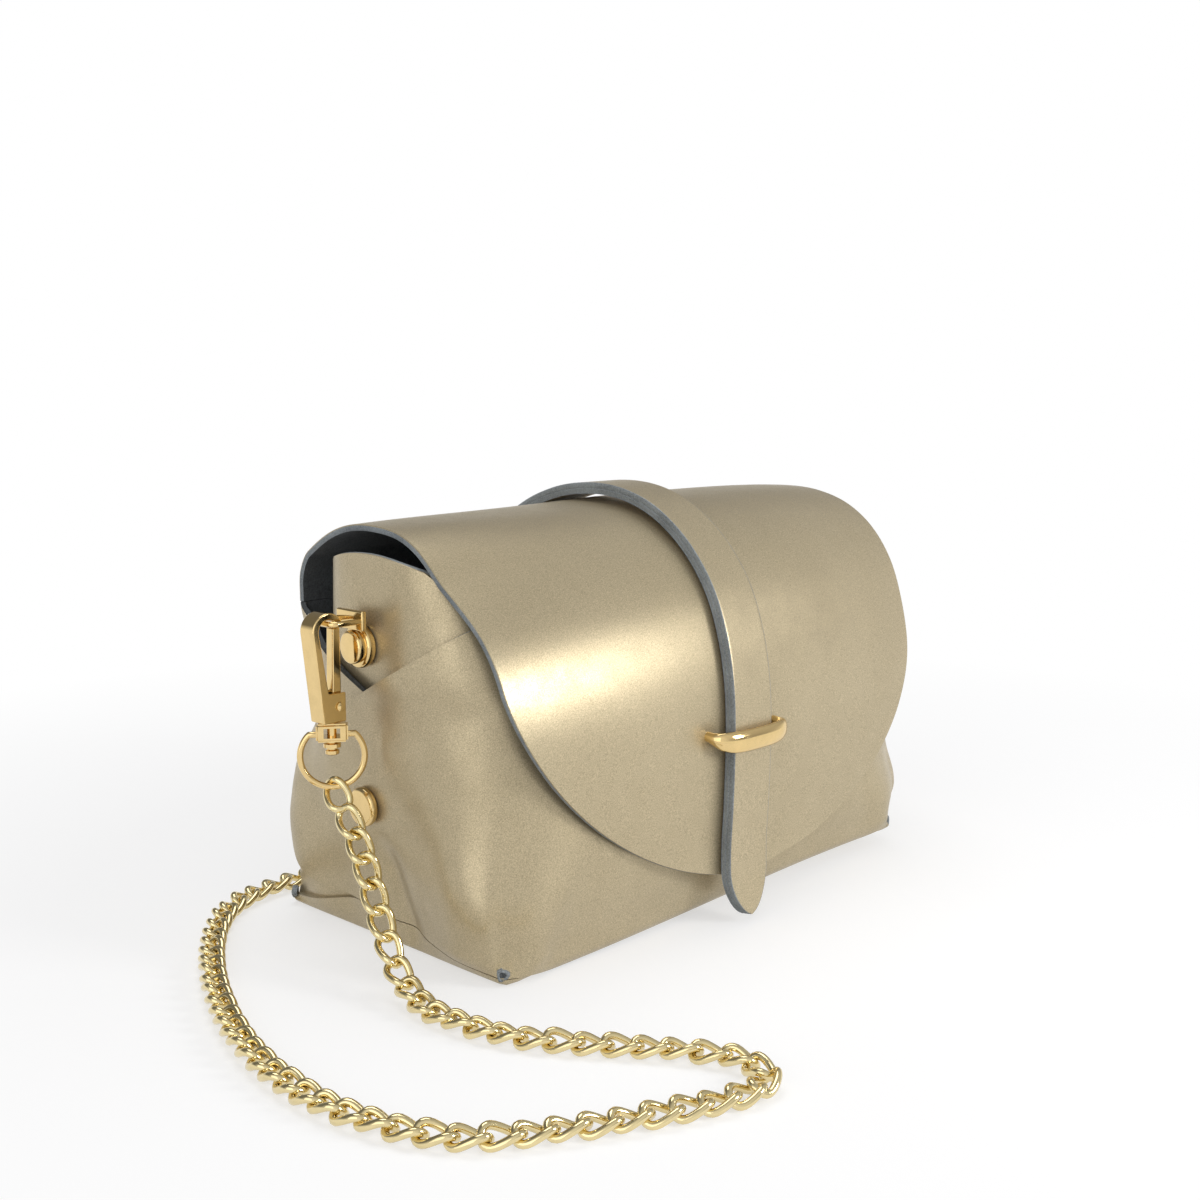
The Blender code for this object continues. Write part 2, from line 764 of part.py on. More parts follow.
def join_closed(mesh_data, rings):
    """Join rings of corners into a closed loop, matching the last ring to the first."""
    sides = len(rings[0])
    first = rings[0]
    last = rings[-1]
    shift = min(
        range(sides), key=lambda step: (first[step].co - last[0].co).length
    )
    for ring, next_ring in zip(rings, rings[1:]):
        for side in range(sides):
            after = (side + 1) % sides
            mesh_data.faces.new((ring[side], ring[after], next_ring[after], next_ring[side]))
    for side in range(sides):
        after = (side + 1) % sides
        mesh_data.faces.new(
            (
                last[side],
                last[after],
                first[(after + shift) % sides],
                first[(side + shift) % sides],
            )
        )


def extruded(mesh_data, outline, side, half_width):
    """Add a plate cut to an outline of outward places and heights, lying along Y."""
    rings = []
    for depth in (-half_width, half_width):
        rings.append([mesh_data.verts.new((side * out, depth, height)) for out, height in outline])
    cap_rings(mesh_data, rings)


def box(mesh_data, low, high):
    """Add a box between two corners."""
    middle = (Vector(low) + Vector(high)) / 2
    size = Vector(high) - Vector(low)
    place = Matrix.Translation(middle) @ Matrix.Diagonal((*size, 1.0))
    bmesh.ops.create_cube(mesh_data, size=1.0, matrix=place)


def hole(target, name, centre, axis, radius, reach):
    """Cut a round hole through an object."""
    mesh_data = bmesh.new()
    turned(mesh_data, ((radius, -reach), (radius, reach)), centre, axis)
    cut(target, mesh_data, name)


def make_rivets(back, tail):
    """The rivets that hold the strap's tail on the back panel."""
    post_hole = RIVET_POST_RADIUS + HOLE_CLEARANCE
    outside = CLEARANCE + TAIL_THICKNESS + FIT_GAP
    inside = -LEATHER - CLEARANCE
    for word, share in RIVET_SHARES:
        height = share * RIDGE_HEIGHT
        profile = (
            (RIVET_CAP_RADIUS * 0.7, outside + RIVET_CAP_THICKNESS),
            (RIVET_CAP_RADIUS, outside + RIVET_CAP_THICKNESS * 0.4),
            (RIVET_CAP_RADIUS, outside),
            (RIVET_POST_RADIUS, outside),
            (RIVET_POST_RADIUS, inside),
            (RIVET_CAP_RADIUS, inside),
            (RIVET_CAP_RADIUS, inside - RIVET_CAP_THICKNESS / 2),
        )
        centre = (0.0, back_face(height), height)
        axis = back_normal(height)
        mesh_data = bmesh.new()
        turned(mesh_data, profile, centre, axis)
        name = f"strap_rivet_{word}"
        add_mesh(name, mesh_data, gold_finish(name))
        reach = TAIL_THICKNESS * 2
        hole(back, f"{name}_hole_back", centre, axis, post_hole, reach)
        hole(tail, f"{name}_hole_tail", centre, axis, post_hole, reach)


def make_closure_loop(flap):
    """The half-round loop on the flap, its legs and its two nuts."""
    place = line_place(LOOP_HEIGHT, False)
    point, normal = line_frame(place)
    face = point.x
    middle = strap_middle(place)
    bar_back = CLEARANCE + TAIL_THICKNESS + LOOP_STRAP_GAP
    bar_middle = bar_back + LOOP_BAR_DEPTH / 2
    leg_end = -LEATHER - CLEARANCE
    leg_out = LOOP_HALF - LOOP_LEG_RADIUS
    bend = LOOP_BAR_DEPTH
    steps = 5
    path = [(-leg_out, leg_end, 0.0), (-leg_out, CLEARANCE, 0.0)]
    sizes = [(LOOP_LEG_RADIUS, LOOP_LEG_RADIUS)] * 2
    for step in range(steps + 1):
        share = step / steps
        angle = math.pi / 2 * share
        out = -leg_out + bend * (1 - math.cos(angle))
        rise = bar_middle - bend * (1 - math.sin(angle))
        path.append((out, rise, share))
        sizes.append(
            (
                lerp(LOOP_LEG_RADIUS, LOOP_BAR_DEPTH / 2, share),
                lerp(LOOP_LEG_RADIUS, LOOP_BAR_HEIGHT / 2, share),
            )
        )
    path += [(-out, rise, share) for out, rise, share in path[::-1]]
    sizes += sizes[::-1]
    mesh_data = bmesh.new()
    rings = []
    for index, (out, rise, share) in enumerate(path):
        before = path[max(index - 1, 0)]
        after = path[min(index + 1, len(path) - 1)]
        along = Vector((after[0] - before[0], -(after[1] - before[1]))).normalized()
        across = Vector((-along.y, along.x))
        thin, tall = sizes[index]
        ring = []
        for side in range(12):
            angle = math.tau * side / 12
            flat = across * math.cos(angle) * thin
            height = LOOP_HEIGHT + math.sin(angle) * tall
            ring.append(
                mesh_data.verts.new((middle + out + flat.x, face - rise + flat.y, height))
            )
        rings.append(ring)
    cap_rings(mesh_data, rings)
    add_mesh("closure_loop", mesh_data, gold_finish("closure_loop"))
    for word, side in SIDES:
        centre = (middle + side * leg_out, face, LOOP_HEIGHT)
        fall = FLAP_FALL * flap_half_share(centre[0]) ** 2
        near = leg_end - FIT_GAP - fall
        profile = ((LOOP_NUT_RADIUS, near), (LOOP_NUT_RADIUS, near - LOOP_NUT_THICKNESS))
        nut = bmesh.new()
        turned(nut, profile, centre, (0, -1, 0))
        name = f"closure_loop_nut_{word}"
        add_mesh(name, nut, gold_finish(name))
        leg_hole = LOOP_LEG_RADIUS + HOLE_CLEARANCE
        hole(flap, f"{name}_hole", centre, (0, 1, 0), leg_hole, LEATHER * 2)


def make_low_stud(name, side, layers):
    """The flat stud that holds both wings to the tongue."""
    outer = side_reach(0.0, LOW_STUD_HEIGHT, 0.0)
    inner = -TONGUE_INSET - LEATHER - CLEARANCE
    profile = (
        (LOW_STUD_RADIUS * 0.82, CLEARANCE + LOW_STUD_THICKNESS),
        (LOW_STUD_RADIUS, CLEARANCE + LOW_STUD_THICKNESS * 0.72),
        (LOW_STUD_RADIUS, CLEARANCE + LOW_STUD_THICKNESS * 0.30),
        (LOW_STUD_RADIUS * 0.86, CLEARANCE),
        (STUD_POST_RADIUS, CLEARANCE),
        (STUD_POST_RADIUS, inner),
    )
    centre = (side * outer, 0.0, LOW_STUD_HEIGHT)
    mesh_data = bmesh.new()
    turned(mesh_data, profile, centre, (side, 0, 0))
    add_mesh(f"{name}_cap", mesh_data, gold_finish(f"{name}_cap"))
    make_nut(f"{name}_screw", centre, side, inner - FIT_GAP)
    for number, layer in enumerate(layers):
        radius = STUD_POST_RADIUS + HOLE_CLEARANCE
        reach = LEATHER + 3 * LAYER
        hole(layer, f"{name}_hole_{number}", centre, (side, 0, 0), radius, reach)


def make_nut(name, centre, side, near):
    """The disc that closes a stud inside the bag."""
    profile = ((STUD_NUT_RADIUS, near), (STUD_NUT_RADIUS, near - STUD_NUT_THICKNESS))
    mesh_data = bmesh.new()
    turned(mesh_data, profile, centre, (side, 0, 0))
    add_mesh(name, mesh_data, gold_finish(name))


def tongue_face(height):
    """Distance of a tongue's outer face from the middle plane."""
    return side_reach(0.0, height, TONGUE_INSET)


# Places of the hook and what hangs on it, from the stud that carries them
STUD_FACE = tongue_face(RING_STUD_HEIGHT)
EYE_HEIGHT = RING_STUD_HEIGHT + RING_STUD_STEP_RADIUS + FIT_GAP + EYE_BAND_HEIGHT / 2
NOSE_OUT = STUD_FACE + HOOK_REACH
NOSE_HEIGHT = EYE_HEIGHT + EYE_WIRE_RADIUS + FIT_GAP - (HOOK_NOSE_RADIUS - HOOK_BAND)
FOOT_TOP = NOSE_HEIGHT - HOOK_FOOT_DROP
FOOT_LOW = FOOT_TOP - HOOK_FOOT_HEIGHT
PIVOT_OUT = NOSE_OUT - GATE_PIVOT_INNER
PIVOT_HEIGHT = NOSE_HEIGHT - GATE_PIVOT_DROP
SWIVEL_OUT = NOSE_OUT - SWIVEL_INNER
COLLAR_TOP = FOOT_LOW - COLLAR_GAP
COLLAR_LOW = COLLAR_TOP - COLLAR_HEIGHT
PIN_TOP = FOOT_LOW - FIT_GAP
PIN_LOW = PIN_TOP - SWIVEL_PIN_LENGTH
RING_LOW = (COLLAR_LOW + COLLAR_TOP) / 2 - RING_DROP


def make_ring_stud(name, side, tongue):
    """The stepped stud on the tongue, with the flat ring that carries the hook."""
    face = STUD_FACE
    inner = -LEATHER - CLEARANCE
    outer = CLEARANCE + RING_STUD_THICKNESS
    profile = (
        (RING_STUD_STEP_RADIUS * 0.9, outer + RING_STUD_STEP),
        (RING_STUD_STEP_RADIUS, outer + RING_STUD_STEP * 0.8),
        (RING_STUD_STEP_RADIUS, outer),
        (RING_STUD_RADIUS * 0.92, outer),
        (RING_STUD_RADIUS, outer * 0.8),
        (RING_STUD_RADIUS, CLEARANCE),
        (STUD_POST_RADIUS, CLEARANCE),
        (STUD_POST_RADIUS, inner),
    )
    centre = (side * face, 0.0, RING_STUD_HEIGHT)
    mesh_data = bmesh.new()
    turned(mesh_data, profile, centre, (side, 0, 0))
    add_mesh(f"{name}_base", mesh_data, gold_finish(f"{name}_base"))
    make_nut(f"{name}_screw", centre, side, inner - FIT_GAP)
    radius = STUD_POST_RADIUS + HOLE_CLEARANCE
    hole(tongue, f"{name}_hole", centre, (side, 0, 0), radius, LEATHER * 2)
    make_eye(f"{name}_eye", side, face)


def make_eye(name, side, face):
    """The rectangular ring: a flat band over the stud and a wire that stands outward."""
    band_out = face + CLEARANCE + RING_STUD_THICKNESS + FIT_GAP
    band_low = RING_STUD_HEIGHT + RING_STUD_STEP_RADIUS + FIT_GAP
    mesh_data = bmesh.new()
    low = (side * band_out, -EYE_BAND_HALF, band_low)
    high = (side * (band_out + EYE_BAND_THICKNESS), EYE_BAND_HALF, band_low + EYE_BAND_HEIGHT)
    box(mesh_data, low, high)
    band = add_mesh(name, mesh_data, gold_finish(name))
    corner = EYE_WIRE_RADIUS * 2
    start = band_out + EYE_BAND_THICKNESS / 2
    end = NOSE_OUT
    outline = [(start, EYE_HALF), (end - corner, EYE_HALF)]
    for step in range(1, 5):
        angle = math.pi / 2 * step / 4
        outline.append(
            (end - corner + corner * math.sin(angle), EYE_HALF - corner * (1 - math.cos(angle)))
        )
    outline += [(out, -depth) for out, depth in outline[::-1]]
    points = [Vector((side * out, depth, EYE_HEIGHT)) for out, depth in outline]
    wire = bmesh.new()
    tube(wire, points, EYE_WIRE_RADIUS, WIRE_SIDES, False)
    cutter = add_mesh(f"{name}_wire", wire, gold_finish(f"{name}_wire"))
    cutter.hide_render = True
    cutter.display_type = "WIRE"
    joint = band.modifiers.new("wire", "BOOLEAN")
    joint.operation = "UNION"
    joint.solver = "EXACT"
    joint.object = cutter


def hook_outline():
    """Outline of the hook seen along Y: outer leg, nose, inner face and foot."""
    outer_foot = NOSE_OUT + HOOK_FOOT_OUTER
    inner_foot = NOSE_OUT - HOOK_FOOT_INNER
    outline = [(inner_foot, FOOT_LOW), (outer_foot, FOOT_LOW)]
    steps = 9
    angles = [
        math.radians(lerp(0.0, 180.0 - HOOK_NOSE_END_DEG, step / steps))
        for step in range(steps + 1)
    ]
    for radius, turn_order in (
        (HOOK_NOSE_RADIUS, angles),
        (HOOK_NOSE_RADIUS - HOOK_BAND, angles[::-1]),
    ):
        for angle in turn_order:
            out = NOSE_OUT + radius * math.cos(angle)
            outline.append((out, NOSE_HEIGHT + radius * math.sin(angle)))
    outline.append((outer_foot - HOOK_BAND, FOOT_TOP))
    outline.append((inner_foot, FOOT_TOP))
    return outline


def make_hook(name, side):
    """The snap hook's body with a slot for its gate and a bore for the gate's pin."""
    mesh_data = bmesh.new()
    extruded(mesh_data, hook_outline(), side, HOOK_HALF_WIDTH)
    hook = add_mesh(f"{name}_body", mesh_data, gold_finish(f"{name}_body"))
    slot = bmesh.new()
    half = GATE_HALF_WIDTH + FIT_GAP
    inner = NOSE_OUT - HOOK_FOOT_INNER - HOOK_HALF_WIDTH
    outer = NOSE_OUT + HOOK_FOOT_OUTER - HOOK_SLOT_WALL
    low = (side * inner, -half, FOOT_LOW + HOOK_SLOT_FLOOR)
    high = (side * outer, half, FOOT_TOP + HOOK_HALF_WIDTH)
    box(slot, low, high)
    cut(hook, slot, f"{name}_slot")
    centre = (side * PIVOT_OUT, 0.0, PIVOT_HEIGHT)
    hole(hook, f"{name}_bore", centre, (0, 1, 0), GATE_BORE_RADIUS, HOOK_HALF_WIDTH * 2)
    make_gate(name, side)
    pin = bmesh.new()
    face = HOOK_HALF_WIDTH + FIT_GAP
    profile = (
        (PIN_HEAD_RADIUS, -face - PIN_HEAD_THICKNESS),
        (PIN_HEAD_RADIUS, -face),
        (GATE_PIN_RADIUS, -face),
        (GATE_PIN_RADIUS, face),
        (PIN_HEAD_RADIUS, face),
        (PIN_HEAD_RADIUS, face + PIN_HEAD_THICKNESS),
    )
    turned(pin, profile, centre, (0, 1, 0))
    add_mesh(f"{name}_gate_pin", pin, gold_finish(f"{name}_gate_pin"))


def make_gate(name, side):
    """The sprung gate, with its origin on its pin."""
    outline = []
    for step in range(7):
        angle = math.radians(lerp(-180.0, 0.0, step / 6))
        outline.append(
            (
                PIVOT_OUT + GATE_FOOT_RADIUS * math.cos(angle),
                PIVOT_HEIGHT + GATE_FOOT_RADIUS * math.sin(angle),
            )
        )
    nose_end = math.radians(HOOK_NOSE_END_DEG)
    top = NOSE_HEIGHT + (HOOK_NOSE_RADIUS - HOOK_BAND) * math.sin(nose_end) - FIT_GAP
    inner = NOSE_OUT - HOOK_NOSE_RADIUS + FIT_GAP
    outline.append((inner + GATE_THICKNESS, top))
    outline.append((inner, top))
    mesh_data = bmesh.new()
    extruded(mesh_data, outline, side, GATE_HALF_WIDTH)
    pivot = Vector((side * PIVOT_OUT, 0.0, PIVOT_HEIGHT))
    bmesh.ops.translate(mesh_data, verts=mesh_data.verts, vec=-pivot)
    gate = add_mesh(f"{name}_gate", mesh_data, gold_finish(f"{name}_gate"))
    gate.location = pivot
    hole(gate, f"{name}_gate_bore", pivot, (0, 1, 0), GATE_BORE_RADIUS, HOOK_HALF_WIDTH * 2)


def make_swivel(name, side):
    """The swivel pin, the collar that turns on it and the D-ring in the collar."""
    pin = bmesh.new()
    profile = (
        (SWIVEL_HEAD_RADIUS * 0.8, PIN_LOW),
        (SWIVEL_HEAD_RADIUS, PIN_LOW + SWIVEL_HEAD_THICKNESS / 2),
        (SWIVEL_HEAD_RADIUS, PIN_LOW + SWIVEL_HEAD_THICKNESS),
        (SWIVEL_PIN_RADIUS, PIN_LOW + SWIVEL_HEAD_THICKNESS),
        (SWIVEL_PIN_RADIUS, PIN_TOP),
    )
    axis_point = (side * SWIVEL_OUT, 0.0, 0.0)
    turned(pin, profile, axis_point, (0, 0, 1))
    add_mesh(f"{name}_pin", pin, gold_finish(f"{name}_pin"))
    collar = bmesh.new()
    outer = ((COLLAR_RADIUS, COLLAR_LOW), (COLLAR_RADIUS, COLLAR_TOP))
    turned(collar, outer, (0, 0, 0), (0, 0, 1))
    made = add_mesh(f"{name}_collar", collar, gold_finish(f"{name}_collar"))
    made.location = axis_point
    reach = COLLAR_TOP
    hole(made, f"{name}_collar_bore", axis_point, (0, 0, 1), COLLAR_BORE_RADIUS, reach)
    ring = bmesh.new()
    tube(ring, ring_path(side), RING_WIRE_RADIUS, WIRE_SIDES, False)
    made = add_mesh(f"{name}_ring", ring, gold_finish(f"{name}_ring"))
    made.location = axis_point


def ring_direction(side):
    """Level direction in which a D-ring's plane lies."""
    turn = math.radians(RING_TURN_DEG)
    return Vector((-side * math.cos(turn), -math.sin(turn), 0.0))


def ring_path(side):
    """Path of the D-ring's wire about the swivel's axis, from shoulder to shoulder."""
    centre = RING_LOW + RING_RADIUS
    shoulder = lerp(COLLAR_LOW, COLLAR_TOP, 0.5)
    start = COLLAR_RADIUS + FIT_GAP
    flat = [(start, shoulder)]
    first = math.asin((shoulder - centre) / RING_RADIUS)
    steps = 18
    for step in range(steps + 1):
        angle = lerp(first, -math.pi - first, step / steps)
        flat.append((RING_RADIUS * math.cos(angle), centre + RING_RADIUS * math.sin(angle)))
    flat.append((-start, shoulder))
    level = ring_direction(side)
    return [level * across + Vector((0, 0, height)) for across, height in flat]


def link_down(side):
    """Direction in which an end link hangs."""
    tilt = math.radians(LINK_TILT_DEG)
    return Vector((0.0, side * math.sin(tilt), -math.cos(tilt)))


def link_crown(side):
    """Middle of an end link's upper wire, just above the D-ring's lowest wire."""
    hang = RING_WIRE_RADIUS + LINK_WIRE_RADIUS + FIT_GAP
    return Vector((side * SWIVEL_OUT, 0.0, RING_LOW)) - link_down(side) * hang


def make_end_link(name, side):
    """The chain's end link, hung on the D-ring."""
    down = link_down(side)
    level = ring_direction(side)
    normal = (level - down * level.dot(down)).normalized()
    across = normal.cross(down)
    half_length = LINK_LENGTH / 2 - LINK_WIRE_RADIUS
    half_width = CHAIN_WIDTH / 2 - LINK_WIRE_RADIUS
    middle = link_crown(side) + down * half_length
    straight = half_length - half_width
    points = []
    steps = 7
    for end in (1, -1):
        for step in range(steps):
            angle = lerp(-math.pi / 2, math.pi / 2, step / (steps - 1))
            along = end * (straight + half_width * math.cos(angle))
            aside = end * half_width * math.sin(angle)
            points.append(middle + down * along + across * aside)
    mesh_data = bmesh.new()
    tube(mesh_data, points, LINK_WIRE_RADIUS, WIRE_SIDES, True)
    add_mesh(name, mesh_data, gold_finish(name))


def chain_knots():
    """Points of the chain's route, from the left end link to the right one."""
    rise = RING_LOW - CHAIN_REST
    knots = [
        Vector((across * SWIVEL_OUT, along * BASE_DEPTH / 2, CHAIN_REST + share * rise))
        for across, along, share in CHAIN_ROUTE_SHARES
    ]
    ends = []
    for side in (-1, 1):
        down = link_down(side)
        start = link_crown(side) + down * (LINK_LENGTH - LINK_WIRE_RADIUS + FIT_GAP)
        ends.append([start, start + down * CHAIN_WIDTH * 0.75])
    return ends[0] + knots + ends[1][::-1]


def make_chain():
    """A plain tube along the chain's route."""
    name = "chain"
    fine = smooth_route(chain_knots(), 16)
    points = [fine[0]]
    gone = 0.0
    for before, after in zip(fine, fine[1:]):
        gone += (after - before).length
        if gone >= TUBE_SPACING:
            points.append(after)
            gone = 0.0
    points[-1] = fine[-1]
    curve = bpy.data.curves.new(name, "CURVE")
    curve.dimensions = "3D"
    curve.bevel_depth = CHAIN_WIDTH / 2
    curve.bevel_resolution = 2
    curve.use_fill_caps = True
    spline = curve.splines.new("POLY")
    spline.points.add(len(points) - 1)
    for target, point in zip(spline.points, points):
        target.co = (*point, 1.0)
    curve.materials.append(gold_finish(name))
    made = bpy.data.objects.new(name, curve)
    bpy.context.scene.collection.objects.link(made)


def make_bag():
    """Build every piece."""
    clear_scene()
    front, back = make_panels()
    tongues = {
        -1: make_tongue("side_tongue_left", -1),
        1: make_tongue("side_tongue_right", 1),
    }
    flap = make_flap()
    make_strap_ply("strap_inner_ply", 0.0)
    make_strap_ply("strap_outer_ply", STRAP_PLY + PLY_GAP)
    tail = make_strap_tail()
    make_rivets(back, tail)
    make_closure_loop(flap)
    for word, side in SIDES:
        make_low_stud(f"side_stud_{word}", side, (front, back, tongues[side]))
        make_ring_stud(f"ring_stud_{word}", side, tongues[side])
        make_hook(f"hook_{word}", side)
        make_swivel(f"swivel_{word}", side)
        make_end_link(f"chain_link_{word}", side)
    make_chain()


make_bag()
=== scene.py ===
"""The look of a small leather bag with a round flap, a strap closure and a chain."""

import math

import bmesh
import bpy
from bpy.props import FloatProperty, FloatVectorProperty, IntProperty, PointerProperty
from mathutils import Matrix, Vector


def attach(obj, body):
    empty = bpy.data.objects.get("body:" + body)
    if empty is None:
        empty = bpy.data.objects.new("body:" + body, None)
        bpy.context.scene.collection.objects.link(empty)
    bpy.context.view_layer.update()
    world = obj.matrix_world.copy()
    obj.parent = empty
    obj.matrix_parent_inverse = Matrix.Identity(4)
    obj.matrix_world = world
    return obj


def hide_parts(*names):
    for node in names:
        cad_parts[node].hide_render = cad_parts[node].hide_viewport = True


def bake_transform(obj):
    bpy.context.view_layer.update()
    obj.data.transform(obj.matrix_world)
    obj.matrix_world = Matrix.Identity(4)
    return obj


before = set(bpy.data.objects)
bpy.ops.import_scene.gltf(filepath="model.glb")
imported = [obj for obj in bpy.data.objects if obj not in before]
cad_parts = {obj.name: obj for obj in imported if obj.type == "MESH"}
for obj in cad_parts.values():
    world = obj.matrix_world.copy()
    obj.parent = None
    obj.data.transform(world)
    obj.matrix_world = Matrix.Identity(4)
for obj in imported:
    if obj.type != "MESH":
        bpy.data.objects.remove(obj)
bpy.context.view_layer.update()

bl_info = {
    "name": "Leather Flap Bag",
    "version": (1, 0, 0),
    "blender": (4, 5, 0),
    "location": "View3D > Sidebar > Bag",
    "description": "Builds a leather flap bag with its fittings and chain",
    "category": "Object",
}

BAG = "bag"
FLAP = "flap_body"
SIDES = (("left", -1), ("right", 1))

# Sizes shared with the solids
BASE_LENGTH = 0.180
BASE_DEPTH = 0.098
RIDGE_HEIGHT = 0.1225
LEATHER = 0.0018
CLEARANCE = 0.0005
FIT_GAP = 0.0003
LAYER = LEATHER + CLEARANCE
PANEL_FOOT = LEATHER + CLEARANCE
TONGUE_INSET = 2 * LAYER + FIT_GAP
SIDE_BULGE = BASE_LENGTH * 0.0444
FRONT_BULGE = BASE_DEPTH * 0.0430
BACK_BULGE = BASE_DEPTH * 0.0204
FRONT_TOP = RIDGE_HEIGHT * 0.784
HINGE_HEIGHT = RIDGE_HEIGHT * 0.7673
WING_CROSSING = RIDGE_HEIGHT * 0.596
FRONT_WING_FALL = 0.46
BACK_WING_FALL = 0.55
WING_HEM_RISE = 0.127
BACK_HEM_RISE = 0.230
BACK_HEM_LIMIT = 0.0095
FRONT_WING_REACH = 40.5
BACK_WING_REACH = 22.5
FRONT_WING_ROUND = 0.0140
BACK_WING_ROUND = 0.0080
TONGUE_TOP = RIDGE_HEIGHT * 0.898
TONGUE_HALF = BASE_DEPTH * 0.296
TONGUE_FOOT_HALF = BASE_DEPTH * 0.378
TONGUE_FOOT_HEIGHT = RIDGE_HEIGHT * 0.082
TONGUE_NARROW_HEIGHT = RIDGE_HEIGHT * 0.367
TONGUE_SHIFT = -0.0020
FLAP_HALF = BASE_LENGTH / 2
FLAP_LOW = RIDGE_HEIGHT * 0.110
FLAP_ROUNDNESS = 1.65
FLAP_FALL = 0.0030
FLAP_STAND = 0.0039
STRAP_WIDTH = 0.0170
STRAP_PLY = 0.0016
PLY_GAP = 0.0003
STRAP_THICKNESS = 2 * STRAP_PLY + PLY_GAP
STRAP_LOW = 0.0018
STRAP_TIP_LENGTH = 0.0140
STRAP_TIP_ROUNDNESS = 1.7
STRAP_ARCH = 0.0018
STRAP_SKEW = -0.0050
STRAP_START_HEIGHT = RIDGE_HEIGHT * 0.8245
TAIL_LOW = RIDGE_HEIGHT * 0.4735
TAIL_ROUND = 0.0060
RIVET_HEIGHTS = (("lower", RIDGE_HEIGHT * 0.531), ("upper", RIDGE_HEIGHT * 0.645))
LOOP_HEIGHT = RIDGE_HEIGHT * 0.4653
LOOP_HALF = 0.0165
LOOP_BAR_HEIGHT = 0.0064
LOOP_BAR_DEPTH = 0.0030
LOOP_LEG_RADIUS = 0.0015
LOOP_STRAP_GAP = 0.0007
LOW_STUD_HEIGHT = RIDGE_HEIGHT * 0.338
LOW_STUD_RADIUS = 0.0055
LOW_STUD_THICKNESS = 0.0026
RING_STUD_HEIGHT = RIDGE_HEIGHT * 0.706
RING_STUD_RADIUS = 0.0060
RING_STUD_THICKNESS = 0.0025
RING_STUD_STEP_RADIUS = 0.0046
RING_STUD_STEP = 0.0022
STUD_POST_RADIUS = 0.0016
EYE_WIRE_RADIUS = 0.0008
EYE_HALF = 0.0047
EYE_BAND_THICKNESS = 0.0016
EYE_BAND_HEIGHT = 0.0054
EYE_BAND_HALF = 0.0058
EYE_BAND_EDGE = 0.00045
HOOK_REACH = 0.0137
HOOK_NOSE_RADIUS = 0.0050
HOOK_BAND = 0.0019
HOOK_HALF_WIDTH = 0.0030
HOOK_NOSE_END_DEG = 16.0
HOOK_FOOT_DROP = 0.0169
HOOK_FOOT_HEIGHT = 0.0079
HOOK_FOOT_OUTER = 0.0022
HOOK_FOOT_INNER = 0.0051
HOOK_SLOT_WALL = 0.0025
HOOK_SLOT_FLOOR = 0.0018
GATE_PIVOT_INNER = 0.0032
GATE_PIVOT_DROP = 0.0206
GATE_HALF_WIDTH = 0.0015
GATE_THICKNESS = 0.0023
GATE_FOOT_RADIUS = 0.0015
SWIVEL_INNER = 0.0023
SWIVEL_PIN_LENGTH = 0.0089
COLLAR_RADIUS = 0.0046
COLLAR_HEIGHT = 0.0065
COLLAR_GAP = 0.0004
RING_RADIUS = 0.0086
RING_WIRE_RADIUS = 0.00075
RING_DROP = 0.0146
RING_TURN_DEG = 35.6
CHAIN_WIDTH = 0.0070
CHAIN_REST = 0.0037
END_LINK_LENGTH = 0.0103
LINK_TILT_DEG = 40.0

BODY_FORM_SHARES = (
    (0.000, 0.00, 0.00, 0.00, 0.0125, 0.0125),
    (0.025, 0.02, 0.08, 0.08, 0.0200, 0.0160),
    (0.073, 0.12, 0.27, 0.28, 0.0400, 0.0450),
    (0.147, 0.34, 0.65, 0.70, 0.0620, 0.1180),
    (0.270, 0.66, 0.98, 1.00, 0.1540, 0.1250),
    (0.408, 0.86, 1.00, 0.50, 0.2000, 0.1430),
    (0.571, 0.98, 0.80, -1.25, 0.2220, 0.2630),
    (0.650, 1.34, 0.40, -2.40, 0.2120, 0.3050),
    (0.735, 1.40, -0.25, -3.50, 0.2000, 0.3300),
    (0.914, 1.40, -2.70, -4.50, 0.2000, 0.3300),
)
FLAP_LINE_SHARES = (
    (0.855, 0.767, 0.0), (0.850, 0.845, 0.0), (0.775, 0.918, 0.0), (0.600, 0.966, 0.0),
    (0.330, 0.993, 0.0), (0.020, 1.000, 0.0), (-0.290, 0.992, 0.0), (-0.562, 0.960, 0.1),
    (-0.773, 0.898, 0.4), (-0.921, 0.806, 0.8), (-1.015, 0.690, 1.0), (-1.075, 0.560, 1.0),
    (-1.092, 0.425, 1.0), (-1.092, 0.295, 1.0), (-1.085, 0.180, 1.0), (-1.100, 0.090, 1.0),
    (-1.135, 0.004, 1.0),
)
